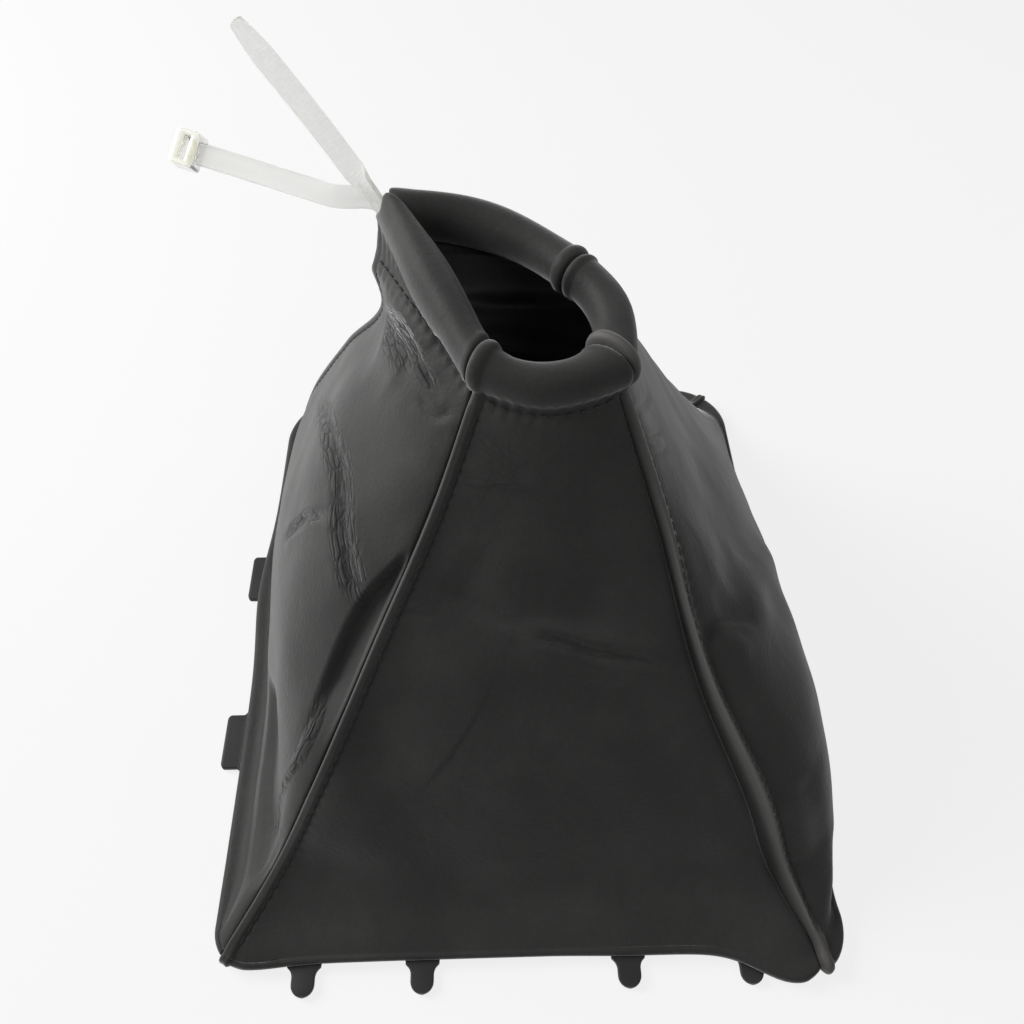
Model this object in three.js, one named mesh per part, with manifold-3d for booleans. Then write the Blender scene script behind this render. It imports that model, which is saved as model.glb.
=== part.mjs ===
// Gear lever gaiter: four leather panels sewn into a tapering sleeve, fixed over a flat moulded
// frame, with a hem tube round the top opening that carries an open cable tie.
// Millimetres, +Z up, +X right, front at -Y. The origin is the middle of the frame's underside.
import * as THREE from 'three';
import Module from 'manifold-3d';

// ---- driving sizes
const WIDTH = 152.8; // leather outline over the frame, left to right
const LENGTH = 193.2; // leather outline over the frame, front to back
const COLLAR_HEIGHT = 120; // average height of the hem tube's centre line
const CORNER_RADII = [9, 9, 18, 22]; // plan corners: front left, front right, back right, back left
const LEATHER = 1.2; // leather thickness
const CLEARANCE = 0.3; // left between pieces that touch
const FRAME_THICKNESS = 2.5;
const RAIL_WIDTH = 10; // width of the frame's rails
const TONGUE_WIDTH = 5.6; // clip tongues on the front and back rails
const TONGUE_REACH = 6.9; // beyond the leather
const TAB_WIDTH = 16; // tabs on the side rails
const TAB_REACH = 5.6; // beyond the leather
const STRAP_WIDTH = 5.2; // cable tie
const STRAP_THICKNESS = 1.2;
const HEAD = [6.2, 5, 8.4]; // cable tie head: along the strap, through it and across it
const BAND_WIDTH = 3.2; // raised seam allowance beside each seam
const BAND_RAISE = 0.9;
const THREAD = 0.5; // thickness of the sewing thread

// ---- sizes that follow
const HALF_X = WIDTH / 2;
const HALF_Y = LENGTH / 2;
const CLIP_THICKNESS = FRAME_THICKNESS * 0.64; // tongues and tabs run under the leather edge
const EDGE_Z = CLIP_THICKNESS + CLEARANCE; // lower end of the wrapped leather
const STRIP_Z = FRAME_THICKNESS + CLEARANCE + LEATHER / 2; // leather lying on the rails
const ROOT_Z = STRIP_Z + 0.8; // where the walls rise
const TUBE_RISE = STRAP_WIDTH / 2 + LEATHER / 2 + 1.4; // hem tube, least half height
const TUBE_REACH = STRAP_WIDTH / 2 + LEATHER / 2 + 0.8; // hem tube, half thickness

const { min, max, sin, cos, abs, exp, hypot, PI } = Math;
const radians = (degrees) => (degrees * PI) / 180;
const spot = (x, y, z) => new THREE.Vector3(x * WIDTH, y * LENGTH, z * COLLAR_HEIGHT);

/** Smooth curve through values at the given knots; values are numbers or vectors. */
function curve(knots, values, t) {
  const number = typeof values[0] === 'number';
  const v = number ? values.map((a) => new THREE.Vector3(a, 0, 0)) : values;
  const n = knots.length;
  let i = 0;
  while (i < n - 2 && t >= knots[i + 1]) i++;
  const rise = (a) => v[a + 1].clone().sub(v[a]).divideScalar(knots[a + 1] - knots[a]);
  const slope = (a) => {
    if (a === 0) return rise(0);
    if (a === n - 1) return rise(n - 2);
    const before = knots[a] - knots[a - 1], after = knots[a + 1] - knots[a];
    const mixed = rise(a - 1).multiplyScalar(after).addScaledVector(rise(a), before);
    return mixed.divideScalar(before + after);
  };
  const h = knots[i + 1] - knots[i], q = (t - knots[i]) / h;
  const p = v[i].clone().multiplyScalar(2 * q ** 3 - 3 * q ** 2 + 1);
  p.addScaledVector(v[i + 1], -2 * q ** 3 + 3 * q ** 2);
  p.addScaledVector(slope(i), h * (q ** 3 - 2 * q ** 2 + q));
  p.addScaledVector(slope(i + 1), h * (q ** 3 - q ** 2));
  return number ? p.x : p;
}

// ---- outline of the base, run counter-clockwise from the front left corner
// Sides: 0 front, 1 right, 2 back, 3 left.
const cornerSum = (side) => CORNER_RADII[side] + CORNER_RADII[(side + 1) % 4];
const sideStraight = (side) => (side % 2 ? LENGTH : WIDTH) - cornerSum(side);
const sideLength = (side) => sideStraight(side) + (PI / 4) * cornerSum(side);
const sideStart = [0];
for (let side = 0; side < 4; side++) sideStart.push(sideStart[side] + sideLength(side));
const frontAt = (x) => x * WIDTH + HALF_X + CORNER_RADII[0] * (PI / 4 - 1);
const SEAM_SHIFT = 5.2; // the front right seam meets the base before its corner
const seamStart = [0, sideStart[1] - SEAM_SHIFT, sideStart[2], sideStart[3], sideStart[4]];
// Leather bunched outwards at the front corners and along the sides: place, half width, amount.
const BUNCHES = [
  [frontAt(0.422), 12, 7.2], [frontAt(-0.432), 9, 0.9], [seamStart[1], 1.6, -1.3],
  [sideStart[3] + 0.43 * sideLength(3), 21, 2.3], [sideStart[1] + 0.16 * sideLength(1), 20, 2],
];

/** Point and outward normal on the outline, s along it; bunched leather is optional. */
function outline(s, inset = 0, bunched = true) {
  const total = sideStart[4];
  const along = ((s % total) + total) % total;
  let side = 3;
  while (side > 0 && along < sideStart[side]) side--;
  const half = side % 2 ? HALF_Y : HALF_X, depth = side % 2 ? HALF_X : HALF_Y;
  const straight = sideStraight(side), start = CORNER_RADII[side];
  const flat = along - sideStart[side] - (PI / 4) * start;
  const corner = flat < straight / 2 ? start : CORNER_RADII[(side + 1) % 4];
  const angle = (flat < 0 ? flat : max(flat - straight, 0)) / corner;
  let out = -inset;
  if (bunched) {
    for (const [place, width, amount] of BUNCHES) {
      const away = ((along - place + 1.5 * total) % total) - total / 2;
      out += amount * exp(-((away / width) ** 2));
    }
  }
  const x = min(max(flat, 0), straight) - half + start + (corner + out) * sin(angle);
  const p = new THREE.Vector3(x, corner - depth - (corner + out) * cos(angle), 0);
  return p.applyAxisAngle(new THREE.Vector3(0, 0, 1), (side * PI) / 2);
}

// ---- panels
// Width of the leather lying flat on the rails: at the corners and along the sides.
const CORNER_STRIP = [1.9, 6, 8, 3];
const SIDE_STRIP = [3, 2.2, 4, 6.5];
// Seams from the base upwards, front left, front right, back right, back left.
const SEAMS = [
  [spot(-0.398, -0.392, 0.117), spot(-0.332, -0.34, 0.275), spot(-0.222, -0.22, 0.517),
    spot(-0.122, -0.113, 0.742)],
  [spot(0.387, -0.411, 0.117), spot(0.353, -0.367, 0.225), spot(0.265, -0.259, 0.442),
    spot(0.196, -0.135, 0.7)],
  [spot(0.34, 0.365, 0.217), spot(0.262, 0.264, 0.483), spot(0.178, 0.171, 0.75)],
  [spot(-0.425, 0.36, 0.2), spot(-0.373, 0.295, 0.4), spot(-0.287, 0.233, 0.622),
    spot(-0.209, 0.171, 0.825)],
];
// Ends of each seam at the hem stitching, and the corners of the hem tube's centre line.
const HEM = [spot(-0.068, -0.053, 0.904), spot(0.137, -0.062, 0.904), spot(0.105, 0.104, 0.942),
  spot(-0.221, 0.155, 0.935)];
const TUBE = [spot(-0.059, -0.036, 0.95), spot(0.124, -0.039, 0.946), spot(0.085, 0.088, 0.983),
  spot(-0.187, 0.181, 1.013)];
const HEM_BOW = [4.5, 4, 7, -0.6], HEM_LIFT = [-2.3, 0, 1, 3.2];
const TUBE_BOW = [4.6, 4.2, 6.5, -0.3], TUBE_LIFT = [-2, 0, -0.5, 0.2];
// Half heights of the hem tube above and below its centre line, at the four corners.
const TUBE_UP = [0.2, 0, 0, 1.4].map((more) => TUBE_RISE + more);
const TUBE_DOWN = [0.6, 0.6, 0, 0.8].map((more) => TUBE_RISE + more);
// How far each panel billows out between its seams, by share of the way up.
const BILLOW = [
  [[0, 0.15, 0.3, 0.5, 0.7, 0.85, 1], [0, 1.5, 2.5, 2, 1.5, 1, 0]],
  [[0, 0.03, 0.08, 0.15, 0.3, 0.5, 0.7, 0.85, 1], [0, 4, 10, 15, 16, 9, 4, 1.5, 0]],
  [[0, 0.15, 0.3, 0.5, 0.7, 0.85, 1], [0, 6, 9, 9, 7, 4, 0]],
  [[0, 0.15, 0.3, 0.5, 0.7, 0.85, 1], [0, 6, 10, 12, 11, 6, 0]],
];
const BILLOW_POWER = [1, 0.6, 0.8, 0.75];
const BILLOW_SKEW = [1, 0.5, 1, 1.3];

/** Width of the flat leather strip at share u along a side. */
function stripWidth(side, u) {
  const length = seamStart[side + 1] - seamStart[side];
  const near = exp(-(((u * length) / 12) ** 2)), far = exp(-((((1 - u) * length) / 12) ** 2));
  const middle = SIDE_STRIP[side];
  return middle + (CORNER_STRIP[side] - middle) * near + (CORNER_STRIP[(side + 1) % 4] - middle) * far;
}

function basePoint(side, u, inset, z) {
  const p = outline(seamStart[side] + u * (seamStart[side + 1] - seamStart[side]), inset);
  p.z = z;
  return p;
}

const rootPoint = (side, u) => basePoint(side, u, stripWidth(side, u), ROOT_Z);

/** Closed loop of four bowed sides through the given corners. */
function loopPoint(corners, bow, lift, side, u) {
  const a = corners[side], b = corners[(side + 1) % 4];
  const out = new THREE.Vector3(b.y - a.y, a.x - b.x, 0).normalize();
  const swell = 4 * u * (1 - u);
  const p = a.clone().lerp(b, u).addScaledVector(out, bow[side] * swell);
  p.z += lift[side] * swell;
  return p;
}

const seamKnots = SEAMS.map((points, side) => {
  const all = [rootPoint(side, 0), ...points, HEM[side]];
  const knots = [0];
  for (let i = 1; i < all.length; i++) knots.push(knots[i - 1] + all[i].distanceTo(all[i - 1]));
  return { all, knots: knots.map((k) => k / knots[knots.length - 1]) };
});
const seamPoint = (side, t) => curve(seamKnots[side].knots, seamKnots[side].all, t);

/** Wall of a panel: between its two seams, easing from the base outline to the hem, billowed. */
function wallPoint(side, u, t) {
  const next = (side + 1) % 4;
  const a = seamPoint(side, t), b = seamPoint(next, t);
  const p = a.clone().lerp(b, u);
  const root = rootPoint(side, u).sub(rootPoint(side, 0).lerp(rootPoint(next, 0), u));
  const hem = loopPoint(HEM, HEM_BOW, HEM_LIFT, side, u).sub(HEM[side].clone().lerp(HEM[next], u));
  p.addScaledVector(root, (1 - t) ** 3).addScaledVector(hem, t ** 1.6);
  const out = new THREE.Vector3(b.y - a.y, a.x - b.x, 0).normalize();
  out.z = 0.05 + 0.75 * t;
  const across = max(sin(PI * u ** BILLOW_SKEW[side]), 0) ** BILLOW_POWER[side];
  return p.addScaledVector(out.normalize(), curve(...BILLOW[side], t) * across);
}

/** Direction that splits the corner of the hem tube, lengthened where the corner is sharp. */
function cornerOut(corner, most = 1.55) {
  const before = TUBE[corner].clone().sub(TUBE[(corner + 3) % 4]).setZ(0).normalize();
  const after = TUBE[(corner + 1) % 4].clone().sub(TUBE[corner]).setZ(0).normalize();
  const n = new THREE.Vector3(before.y + after.y, -before.x - after.x, 0).normalize();
  return n.multiplyScalar(min(1 / max(n.x * after.y - n.y * after.x, 0.1), most));
}

/** Outward direction of the tube's cross-section at share u along a side. */
function tubeOut(side, u) {
  const w = u * u * (3 - 2 * u), middle = sin(PI * u);
  const a = TUBE[side], b = TUBE[(side + 1) % 4];
  const straight = new THREE.Vector3(b.y - a.y, a.x - b.x, 0).normalize();
  const n = cornerOut(side).lerp(cornerOut((side + 1) % 4), w);
  return n.multiplyScalar(1 - middle).addScaledVector(straight, middle);
}

const tubeCentre = (side, u) => loopPoint(TUBE, TUBE_BOW, TUBE_LIFT, side, u);

/** Hem tube round its centre line: angle 0 points outwards, 90 up, 180 into the opening. */
function tubePoint(side, u, degrees) {
  const p = tubeCentre(side, u), heights = degrees < 0 || degrees > 180 ? TUBE_DOWN : TUBE_UP;
  const w = u * u * (3 - 2 * u), rise = (1 - w) * heights[side] + w * heights[(side + 1) % 4];
  p.addScaledVector(tubeOut(side, u), TUBE_REACH * cos(radians(degrees)));
  p.z += rise * sin(radians(degrees));
  return p;
}

// Rows of every panel from the wrapped lower edge, over the rail, up the wall and round the hem.
const WALL_STEPS = [0, 0.025, 0.06, 0.11, 0.17, 0.25, 0.34, 0.44, 0.54, 0.64, 0.74, 0.84, 0.93, 1];
const TUBE_STEPS = [-40, -12, 18, 48, 78, 106, 134, 164, 196, 228, 250];
const half = LEATHER / 2;
const baseRows = [
  (side, u) => basePoint(side, u, half, EDGE_Z),
  (side, u) => basePoint(side, u, half, EDGE_Z + 0.7),
  (side, u) => basePoint(side, u, half + 0.3, STRIP_Z - 0.3),
  (side, u) => basePoint(side, u, half + 0.9, STRIP_Z),
  (side, u) => basePoint(side, u, max(stripWidth(side, u) - 0.8, half + 1.2), STRIP_Z + 0.1),
];
const rows = [
  ...baseRows,
  ...WALL_STEPS.map((t) => (side, u) => wallPoint(side, u, t)),
  ...TUBE_STEPS.map((angle) => (side, u) => tubePoint(side, u, angle)),
];
const firstWall = baseRows.length;
const hemRow = firstWall + WALL_STEPS.length - 1;
const BACK_LEFT_CUT = 6.8; // the tube stays open this far from its back left corner
const SEAM_SETBACK = 0.24; // of each panel's edge from its seam
const SEAM_ZONE = 7.5; // columns beside a seam stand at these multiples of it
const ZONE_STEPS = [1, 1.6, 2.3];
/** Setback at a corner, growing where the back left seam closes to a sharp edge. */
function edgeSetback(corner, row) {
  if (corner !== 3) return SEAM_SETBACK;
  const up = max(0, (row - firstWall) / (hemRow - firstWall));
  return row > hemRow ? BACK_LEFT_CUT : SEAM_SETBACK + 0.66 * up ** 4;
}

/** Distances of the columns from the panel's left seam, for a row of the given length. */
function columnStops(length, left, right) {
  const zone = min(SEAM_ZONE, 0.16 * length), band = left + BAND_WIDTH + 0.4;
  const stops = [left, left + 0.6, left + BAND_WIDTH - 0.5, left + BAND_WIDTH];
  const near = ZONE_STEPS.map((step) => max(step * zone, band + (step - 1) * 2));
  const far = ZONE_STEPS.map((step) => length - right - step * zone).reverse();
  const from = near[near.length - 1], to = far[0];
  stops.push(...near);
  for (let i = 1; i < 5; i++) stops.push(from + ((to - from) * i) / 5);
  stops.push(...far, length - right - zone / 2, length - right);
  return stops;
}
const bandRaise = [0.35, 1, 1, 0.1].map((share) => share * BAND_RAISE);

/** Middle surface of a panel as rows of points at even distances from the left seam. */
function panelGrid(side) {
  return rows.map((point, j) => {
    const fine = [], reach = [0];
    for (let i = 0; i <= 60; i++) {
      fine.push(point(side, i / 60));
      if (i) reach.push(reach[i - 1] + fine[i].distanceTo(fine[i - 1]));
    }
    const stops = columnStops(reach[60], edgeSetback(side, j), edgeSetback((side + 1) % 4, j));
    return stops.map((stop) => {
      let i = 0;
      while (i < 59 && reach[i + 1] < stop) i++;
      return fine[i].clone().lerp(fine[i + 1], (stop - reach[i]) / (reach[i + 1] - reach[i]));
    });
  });
}

/** Unit normal at a grid point and how much the offset grows where the sheet bends. */
function gridNormals(grid) {
  const bend = (a, b, c) => {
    const before = a ? b.clone().sub(a).normalize() : null;
    const after = c ? c.clone().sub(b).normalize() : null;
    if (!before || !after) return { along: before || after, grow: 1 };
    const grow = 1 / max(0.62, Math.sqrt(max(0, (1 + before.dot(after)) / 2)));
    return { along: before.add(after).normalize(), grow };
  };
  return grid.map((row, j) => row.map((p, i) => {
    const across = bend(row[i - 1], p, row[i + 1]);
    const up = bend(grid[j - 1]?.[i], p, grid[j + 1]?.[i]);
    const n = across.along.clone().cross(up.along).normalize();
    return n.multiplyScalar(up.grow);
  }));
}

const grids = [0, 1, 2, 3].map(panelGrid);
const normals = grids.map(gridNormals);
// Neighbouring panels share one mitred direction along their seam.
for (let side = 0; side < 4; side++) {
  const mine = normals[side], theirs = normals[(side + 3) % 4];
  for (let j = 0; j < rows.length; j++) {
    if (side === 3 && j > hemRow) continue;
    const a = mine[j][0], last = theirs[j].length - 1, b = theirs[j][last];
    const m = a.clone().normalize().add(b.clone().normalize()).normalize();
    const grow = 1 / max(0.42, m.dot(a.clone().normalize()));
    const size = grow * min(a.length(), b.length());
    mine[j][0] = m.clone().multiplyScalar(size);
    theirs[j][last] = m.clone().multiplyScalar(size);
  }
}

const outerFace = (side) => grids[side].map((row, j) => row.map((p, i) =>
  p.clone().addScaledVector(normals[side][j][i], half + (bandRaise[i] ?? 0))));
const innerFace = (side) => grids[side].map((row, j) => row.map((p, i) =>
  p.clone().addScaledVector(normals[side][j][i], -half)));

/** Closed body between an outer and an inner grid of points. */
function closedSheet(outer, inner) {
  const nj = outer.length, ni = outer[0].length, skip = nj * ni;
  const points = [...outer.flat(), ...inner.flat()];
  const at = (j, i) => j * ni + i;
  const faces = [];
  const quad = (a, b, c, d) => faces.push(a, b, c, a, c, d);
  for (let j = 0; j < nj - 1; j++) {
    for (let i = 0; i < ni - 1; i++) {
      quad(at(j, i), at(j, i + 1), at(j + 1, i + 1), at(j + 1, i));
      quad(skip + at(j, i), skip + at(j + 1, i), skip + at(j + 1, i + 1), skip + at(j, i + 1));
    }
    quad(skip + at(j, 0), at(j, 0), at(j + 1, 0), skip + at(j + 1, 0));
    quad(at(j, ni - 1), skip + at(j, ni - 1), skip + at(j + 1, ni - 1), at(j + 1, ni - 1));
  }
  for (let i = 0; i < ni - 1; i++) {
    quad(skip + at(0, i), skip + at(0, i + 1), at(0, i + 1), at(0, i));
    quad(at(nj - 1, i), at(nj - 1, i + 1), skip + at(nj - 1, i + 1), skip + at(nj - 1, i));
  }
  return bodyGeometry(points.flatMap((p) => p.toArray()), faces);
}

function bodyGeometry(positions, faces) {
  const geometry = new THREE.BufferGeometry();
  geometry.setAttribute('position', new THREE.Float32BufferAttribute(positions, 3));
  geometry.setIndex(faces);
  geometry.computeVertexNormals();
  return geometry;
}

// ---- threads
/** Square thread laid on a line of surface points; a closed line joins its ends. */
function threadBody(line, up, closed, lift) {
  const n = line.length, positions = [], faces = [];
  for (let i = 0; i < n; i++) {
    const before = closed ? line[(i + n - 1) % n] : line[max(i - 1, 0)];
    const after = closed ? line[(i + 1) % n] : line[min(i + 1, n - 1)];
    const along = after.clone().sub(before).normalize();
    const rise = up[i].clone().addScaledVector(along, -up[i].dot(along)).normalize();
    const across = rise.clone().cross(along);
    for (const [a, b] of [[-0.5, 0], [0.5, 0], [0.5, 1], [-0.5, 1]]) {
      const corner = line[i].clone().addScaledVector(across, a * THREAD);
      positions.push(...corner.addScaledVector(rise, lift + b * THREAD).toArray());
    }
  }
  const spans = closed ? n : n - 1;
  for (let i = 0; i < spans; i++) {
    for (let c = 0; c < 4; c++) {
      const d = (c + 1) % 4, k = (i + 1) % n;
      faces.push(4 * i + c, 4 * i + d, 4 * k + d, 4 * i + c, 4 * k + d, 4 * k + c);
    }
  }
  const last = 4 * (n - 1);
  if (!closed) faces.push(0, 2, 1, 0, 3, 2, last, last + 1, last + 2, last, last + 2, last + 3);
  return bodyGeometry(positions, faces);
}

/** Seam thread up the raised band, near the band's far edge. */
function seamThread(side) {
  const outer = outerFace(side);
  const place = (j) => outer[j][1].clone().lerp(outer[j][2], 0.8);
  const line = [], up = [];
  for (let j = firstWall + 2; j < hemRow - 1; j++) {
    line.push(place(j));
    up.push(normals[side][j][2]);
  }
  line.push(place(hemRow - 2).lerp(place(hemRow - 1), 0.7));
  up.push(normals[side][hemRow - 1][2]);
  return threadBody(line, up, false, 1.15 * CLEARANCE);
}

/** Hem thread round the sleeve just below the hem tube, over the seam bands. */
function hemThread() {
  const line = [], up = [];
  for (let side = 0; side < 4; side++) {
    const outer = outerFace(side), j = hemRow - 1;
    for (let i = 0; i < outer[j].length; i++) {
      line.push(outer[j][i].clone().lerp(outer[j + 1][i], 0.35));
      up.push(normals[side][j][i]);
    }
  }
  return threadBody(line, up, true, 2 * CLEARANCE);
}

// ---- frame, strap and head
const { Manifold, CrossSection, Mesh } = await Module().then((kit) => (kit.setup(), kit));

function fromManifold(body) {
  const mesh = body.getMesh();
  return bodyGeometry(Array.from(mesh.vertProperties), Array.from(mesh.triVerts));
}

/** Leather outline moved inwards, counter-clockwise; its corners keep at least the given radius. */
function roundedPlan(inset, least, steps) {
  const points = [], halfX = HALF_X - inset, halfY = HALF_Y - inset;
  [[1, 1], [-1, 1], [-1, -1], [1, -1]].forEach(([sx, sy], corner) => {
    const radius = max(CORNER_RADII[(corner + 2) % 4] - inset, least);
    for (let i = 0; i <= steps; i++) {
      const a = (PI / 2) * (corner + i / steps);
      points.push([sx * (halfX - radius) + radius * cos(a), sy * (halfY - radius) + radius * sin(a)]);
    }
  });
  return points;
}

/** Clip tongue pointing to -Y with a flared root and a round end. */
function tonguePlan(x, reach) {
  const r = TONGUE_WIDTH / 2, root = HALF_Y - LEATHER - CLEARANCE - 2;
  const flank = [[r * 1.6, -root], [r * 1.45, -HALF_Y - 0.2], [r * 1.12, -HALF_Y - 1.2], [r, -HALF_Y - 2.4]];
  const points = flank.map(([px, py]) => [-px, py]);
  for (let i = 1; i < 8; i++) {
    const a = PI + (PI * i) / 8;
    points.push([r * cos(a), -HALF_Y - reach + r + r * sin(a)]);
  }
  points.push(...flank.reverse());
  return points.map(([px, py]) => [px + x, py]);
}

function tabPlan(y) {
  const w = TAB_WIDTH / 2, root = HALF_X - LEATHER - CLEARANCE - 2, tip = HALF_X + TAB_REACH;
  return [[-root, y + w + 0.8], [-HALF_X - 0.3, y + w + 0.8], [-HALF_X - 1.2, y + w], [-tip + 0.8, y + w],
    [-tip, y + w - 0.8], [-tip, y - w + 0.8], [-tip + 0.8, y - w], [-HALF_X - 1.2, y - w],
    [-HALF_X - 0.3, y - w - 0.8], [-root, y - w - 0.8]];
}

const mirrored = (plan, sx, sy) => {
  const points = plan.map(([x, y]) => [x * sx, y * sy]);
  return sx * sy < 0 ? points.reverse() : points;
};
const TONGUES_X = [-0.354, -0.167, 0.16, 0.354].map((share) => share * WIDTH);
const TABS_Y = [-0.192, 0.094].map((share) => share * LENGTH);

function frameBody() {
  const inset = LEATHER + CLEARANCE + 0.4;
  const outer = roundedPlan(inset, 1, 6), inner = roundedPlan(inset + RAIL_WIDTH, 4, 4);
  const rails = new CrossSection(outer).subtract(new CrossSection(inner));
  const clips = [];
  for (const sign of [1, -1]) {
    for (const x of TONGUES_X) clips.push(mirrored(tonguePlan(x, TONGUE_REACH), 1, sign));
    for (const y of TABS_Y) clips.push(mirrored(tabPlan(y), sign, 1));
  }
  const lower = CrossSection.union([rails, ...clips.map((plan) => new CrossSection(plan))]);
  return Manifold.union([rails.extrude(FRAME_THICKNESS), lower.extrude(CLIP_THICKNESS)]);
}

/** Way of the cable tie: tail tip, hem tube from the left side round to the back, head end. */
function strapWay() {
  const tip = spot(-0.392, 0.28, 1.311), head = spot(-0.49, 0.272, 1.058);
  const corner = TUBE[3], out = cornerOut(3, 1);
  const apart = new THREE.Vector3(out.y, -out.x, 0); // towards the front of the corner
  const beside = (gap, reach, rise) =>
    corner.clone().addScaledVector(apart, -gap).addScaledVector(out, reach).setZ(corner.z + rise);
  const lane = STRAP_THICKNESS / 2 + CLEARANCE + 0.1;
  const gap = 1.45 * STRAP_WIDTH; // reach of the way out between the tube's open ends
  const way = [];
  const inTube = (side, shares) => shares.forEach((u) =>
    way.push({ p: tubeCentre(side, u), w: new THREE.Vector3(0, 0, 1) }));
  const up = new THREE.Vector3(0, 0, 1);
  const tailFace = new THREE.Vector3(0.79, 0.53, 0.4), headFace = new THREE.Vector3(0, 0.78, 0.62);
  const tail = [tip, corner.clone().lerp(tip, 0.5), beside(lane, gap, STRAP_WIDTH), beside(lane, 0.4, 0.5)];
  for (let i = 0; i < 13; i++) {
    const t = i / 12;
    const turned = min(1, max(0, (t - 0.62) / 0.22));
    const w = tailFace.clone().lerp(up, turned).normalize();
    way.push({ p: curve([0, 0.48, 0.86, 1], tail, t), w });
  }
  inTube(3, [0.113, 0.2, 0.4, 0.6, 0.8, 0.94]);
  inTube(0, [0.05, 0.25, 0.5, 0.75, 0.95]);
  inTube(1, [0.07, 0.35, 0.65, 0.93]);
  inTube(2, [0.05, 0.2, 0.35, 0.5, 0.65, 0.78, 0.87]);
  way.push({ p: beside(-lane, 1, 0), w: up }, { p: beside(-lane, gap, 0), w: up });
  for (const share of [0.3, 0.4, 0.5, 0.75, 1]) {
    const w = up.clone().lerp(headFace, min(1, (share - 0.2) / 0.25)).normalize();
    way.push({ p: corner.clone().lerp(head, share), w });
  }
  return way;
}

function strapBody() {
  const way = strapWay(), rings = [];
  way.forEach(({ p, w }, n) => {
    const a = way[max(n - 1, 0)].p, b = way[min(n + 1, way.length - 1)].p;
    const along = b.clone().sub(a).normalize();
    const up = w.clone().addScaledVector(along, -w.dot(along)).normalize();
    const side = along.clone().cross(up);
    const taper = n === 0 ? 0.55 : n === 1 ? 0.95 : 1;
    const ring = [[-1, -1], [-1, 1], [1, 1], [1, -1]].map(([i, j]) => p.clone()
      .addScaledVector(side, (i * STRAP_THICKNESS) / 2)
      .addScaledVector(up, (j * STRAP_WIDTH * taper) / 2));
    rings.push(ring);
  });
  const points = rings.flat(), faces = [];
  for (let n = 0; n < rings.length - 1; n++) {
    for (let c = 0; c < 4; c++) {
      const a = 4 * n + c, b = 4 * n + ((c + 1) % 4);
      faces.push(a, b, b + 4, a, b + 4, a + 4);
    }
  }
  const last = 4 * (rings.length - 1);
  faces.push(0, 2, 1, 0, 3, 2, last, last + 1, last + 2, last, last + 2, last + 3);
  const mesh = new Mesh({ numProp: 3, vertProperties: new Float32Array(points.flatMap((p) => p.toArray())),
    triVerts: new Uint32Array(faces) });
  const strap = new Manifold(mesh);
  // Head: a block square to the strap's end with a slot for the tail.
  const end = way[way.length - 1].p, along = end.clone().sub(way[way.length - 2].p).normalize();
  const up = way[way.length - 1].w.clone();
  up.addScaledVector(along, -up.dot(along)).normalize();
  const side = up.clone().cross(along), middle = end.clone().addScaledVector(along, HEAD[0] / 3);
  const block = Manifold.cube(HEAD, true);
  const slot = Manifold.cube([STRAP_THICKNESS + 0.6, HEAD[1] * 3, STRAP_WIDTH + 0.4], true);
  const place = [along, side, up].flatMap((axis) => [...axis.toArray(), 0]);
  return strap.add(block.subtract(slot).transform([...place, ...middle.toArray(), 1]));
}

// ---- group
const group = new THREE.Group();
group.name = 'gear_lever_gaiter';
function addMesh(name, geometry, colour, roughness) {
  const mesh = new THREE.Mesh(geometry, new THREE.MeshStandardMaterial({ color: colour, roughness }));
  mesh.name = name;
  group.add(mesh);
}

addMesh('base_frame', fromManifold(frameBody()), 0x1c1c1d, 0.5);
['front', 'right', 'back', 'left'].forEach((name, side) =>
  addMesh(`${name}_panel`, closedSheet(outerFace(side), innerFace(side)), 0x2a2a2b, 0.55));
addMesh('cable_tie', fromManifold(strapBody()), 0xe9e9e4, 0.35);
['front_left', 'front_right', 'back_right', 'back_left'].forEach((name, side) =>
  addMesh(`seam_thread_${name}`, seamThread(side), 0x141414, 0.8));
addMesh('hem_thread', hemThread(), 0x141414, 0.8);

export default group;
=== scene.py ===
# %% [markdown]
# # Gear lever gaiter
# A gaiter is the leather sleeve that closes the gap between a gear lever and the console. Four cut
# panels are sewn into a tapering sleeve, fixed over a flat moulded frame, and the top is turned
# over into a hem tube that holds a cable tie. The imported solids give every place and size. This
# file lays finer surfaces over them, all in millimetres until the mesh is made.

import bpy
import numpy as np
from mathutils import Matrix, Vector


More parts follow.
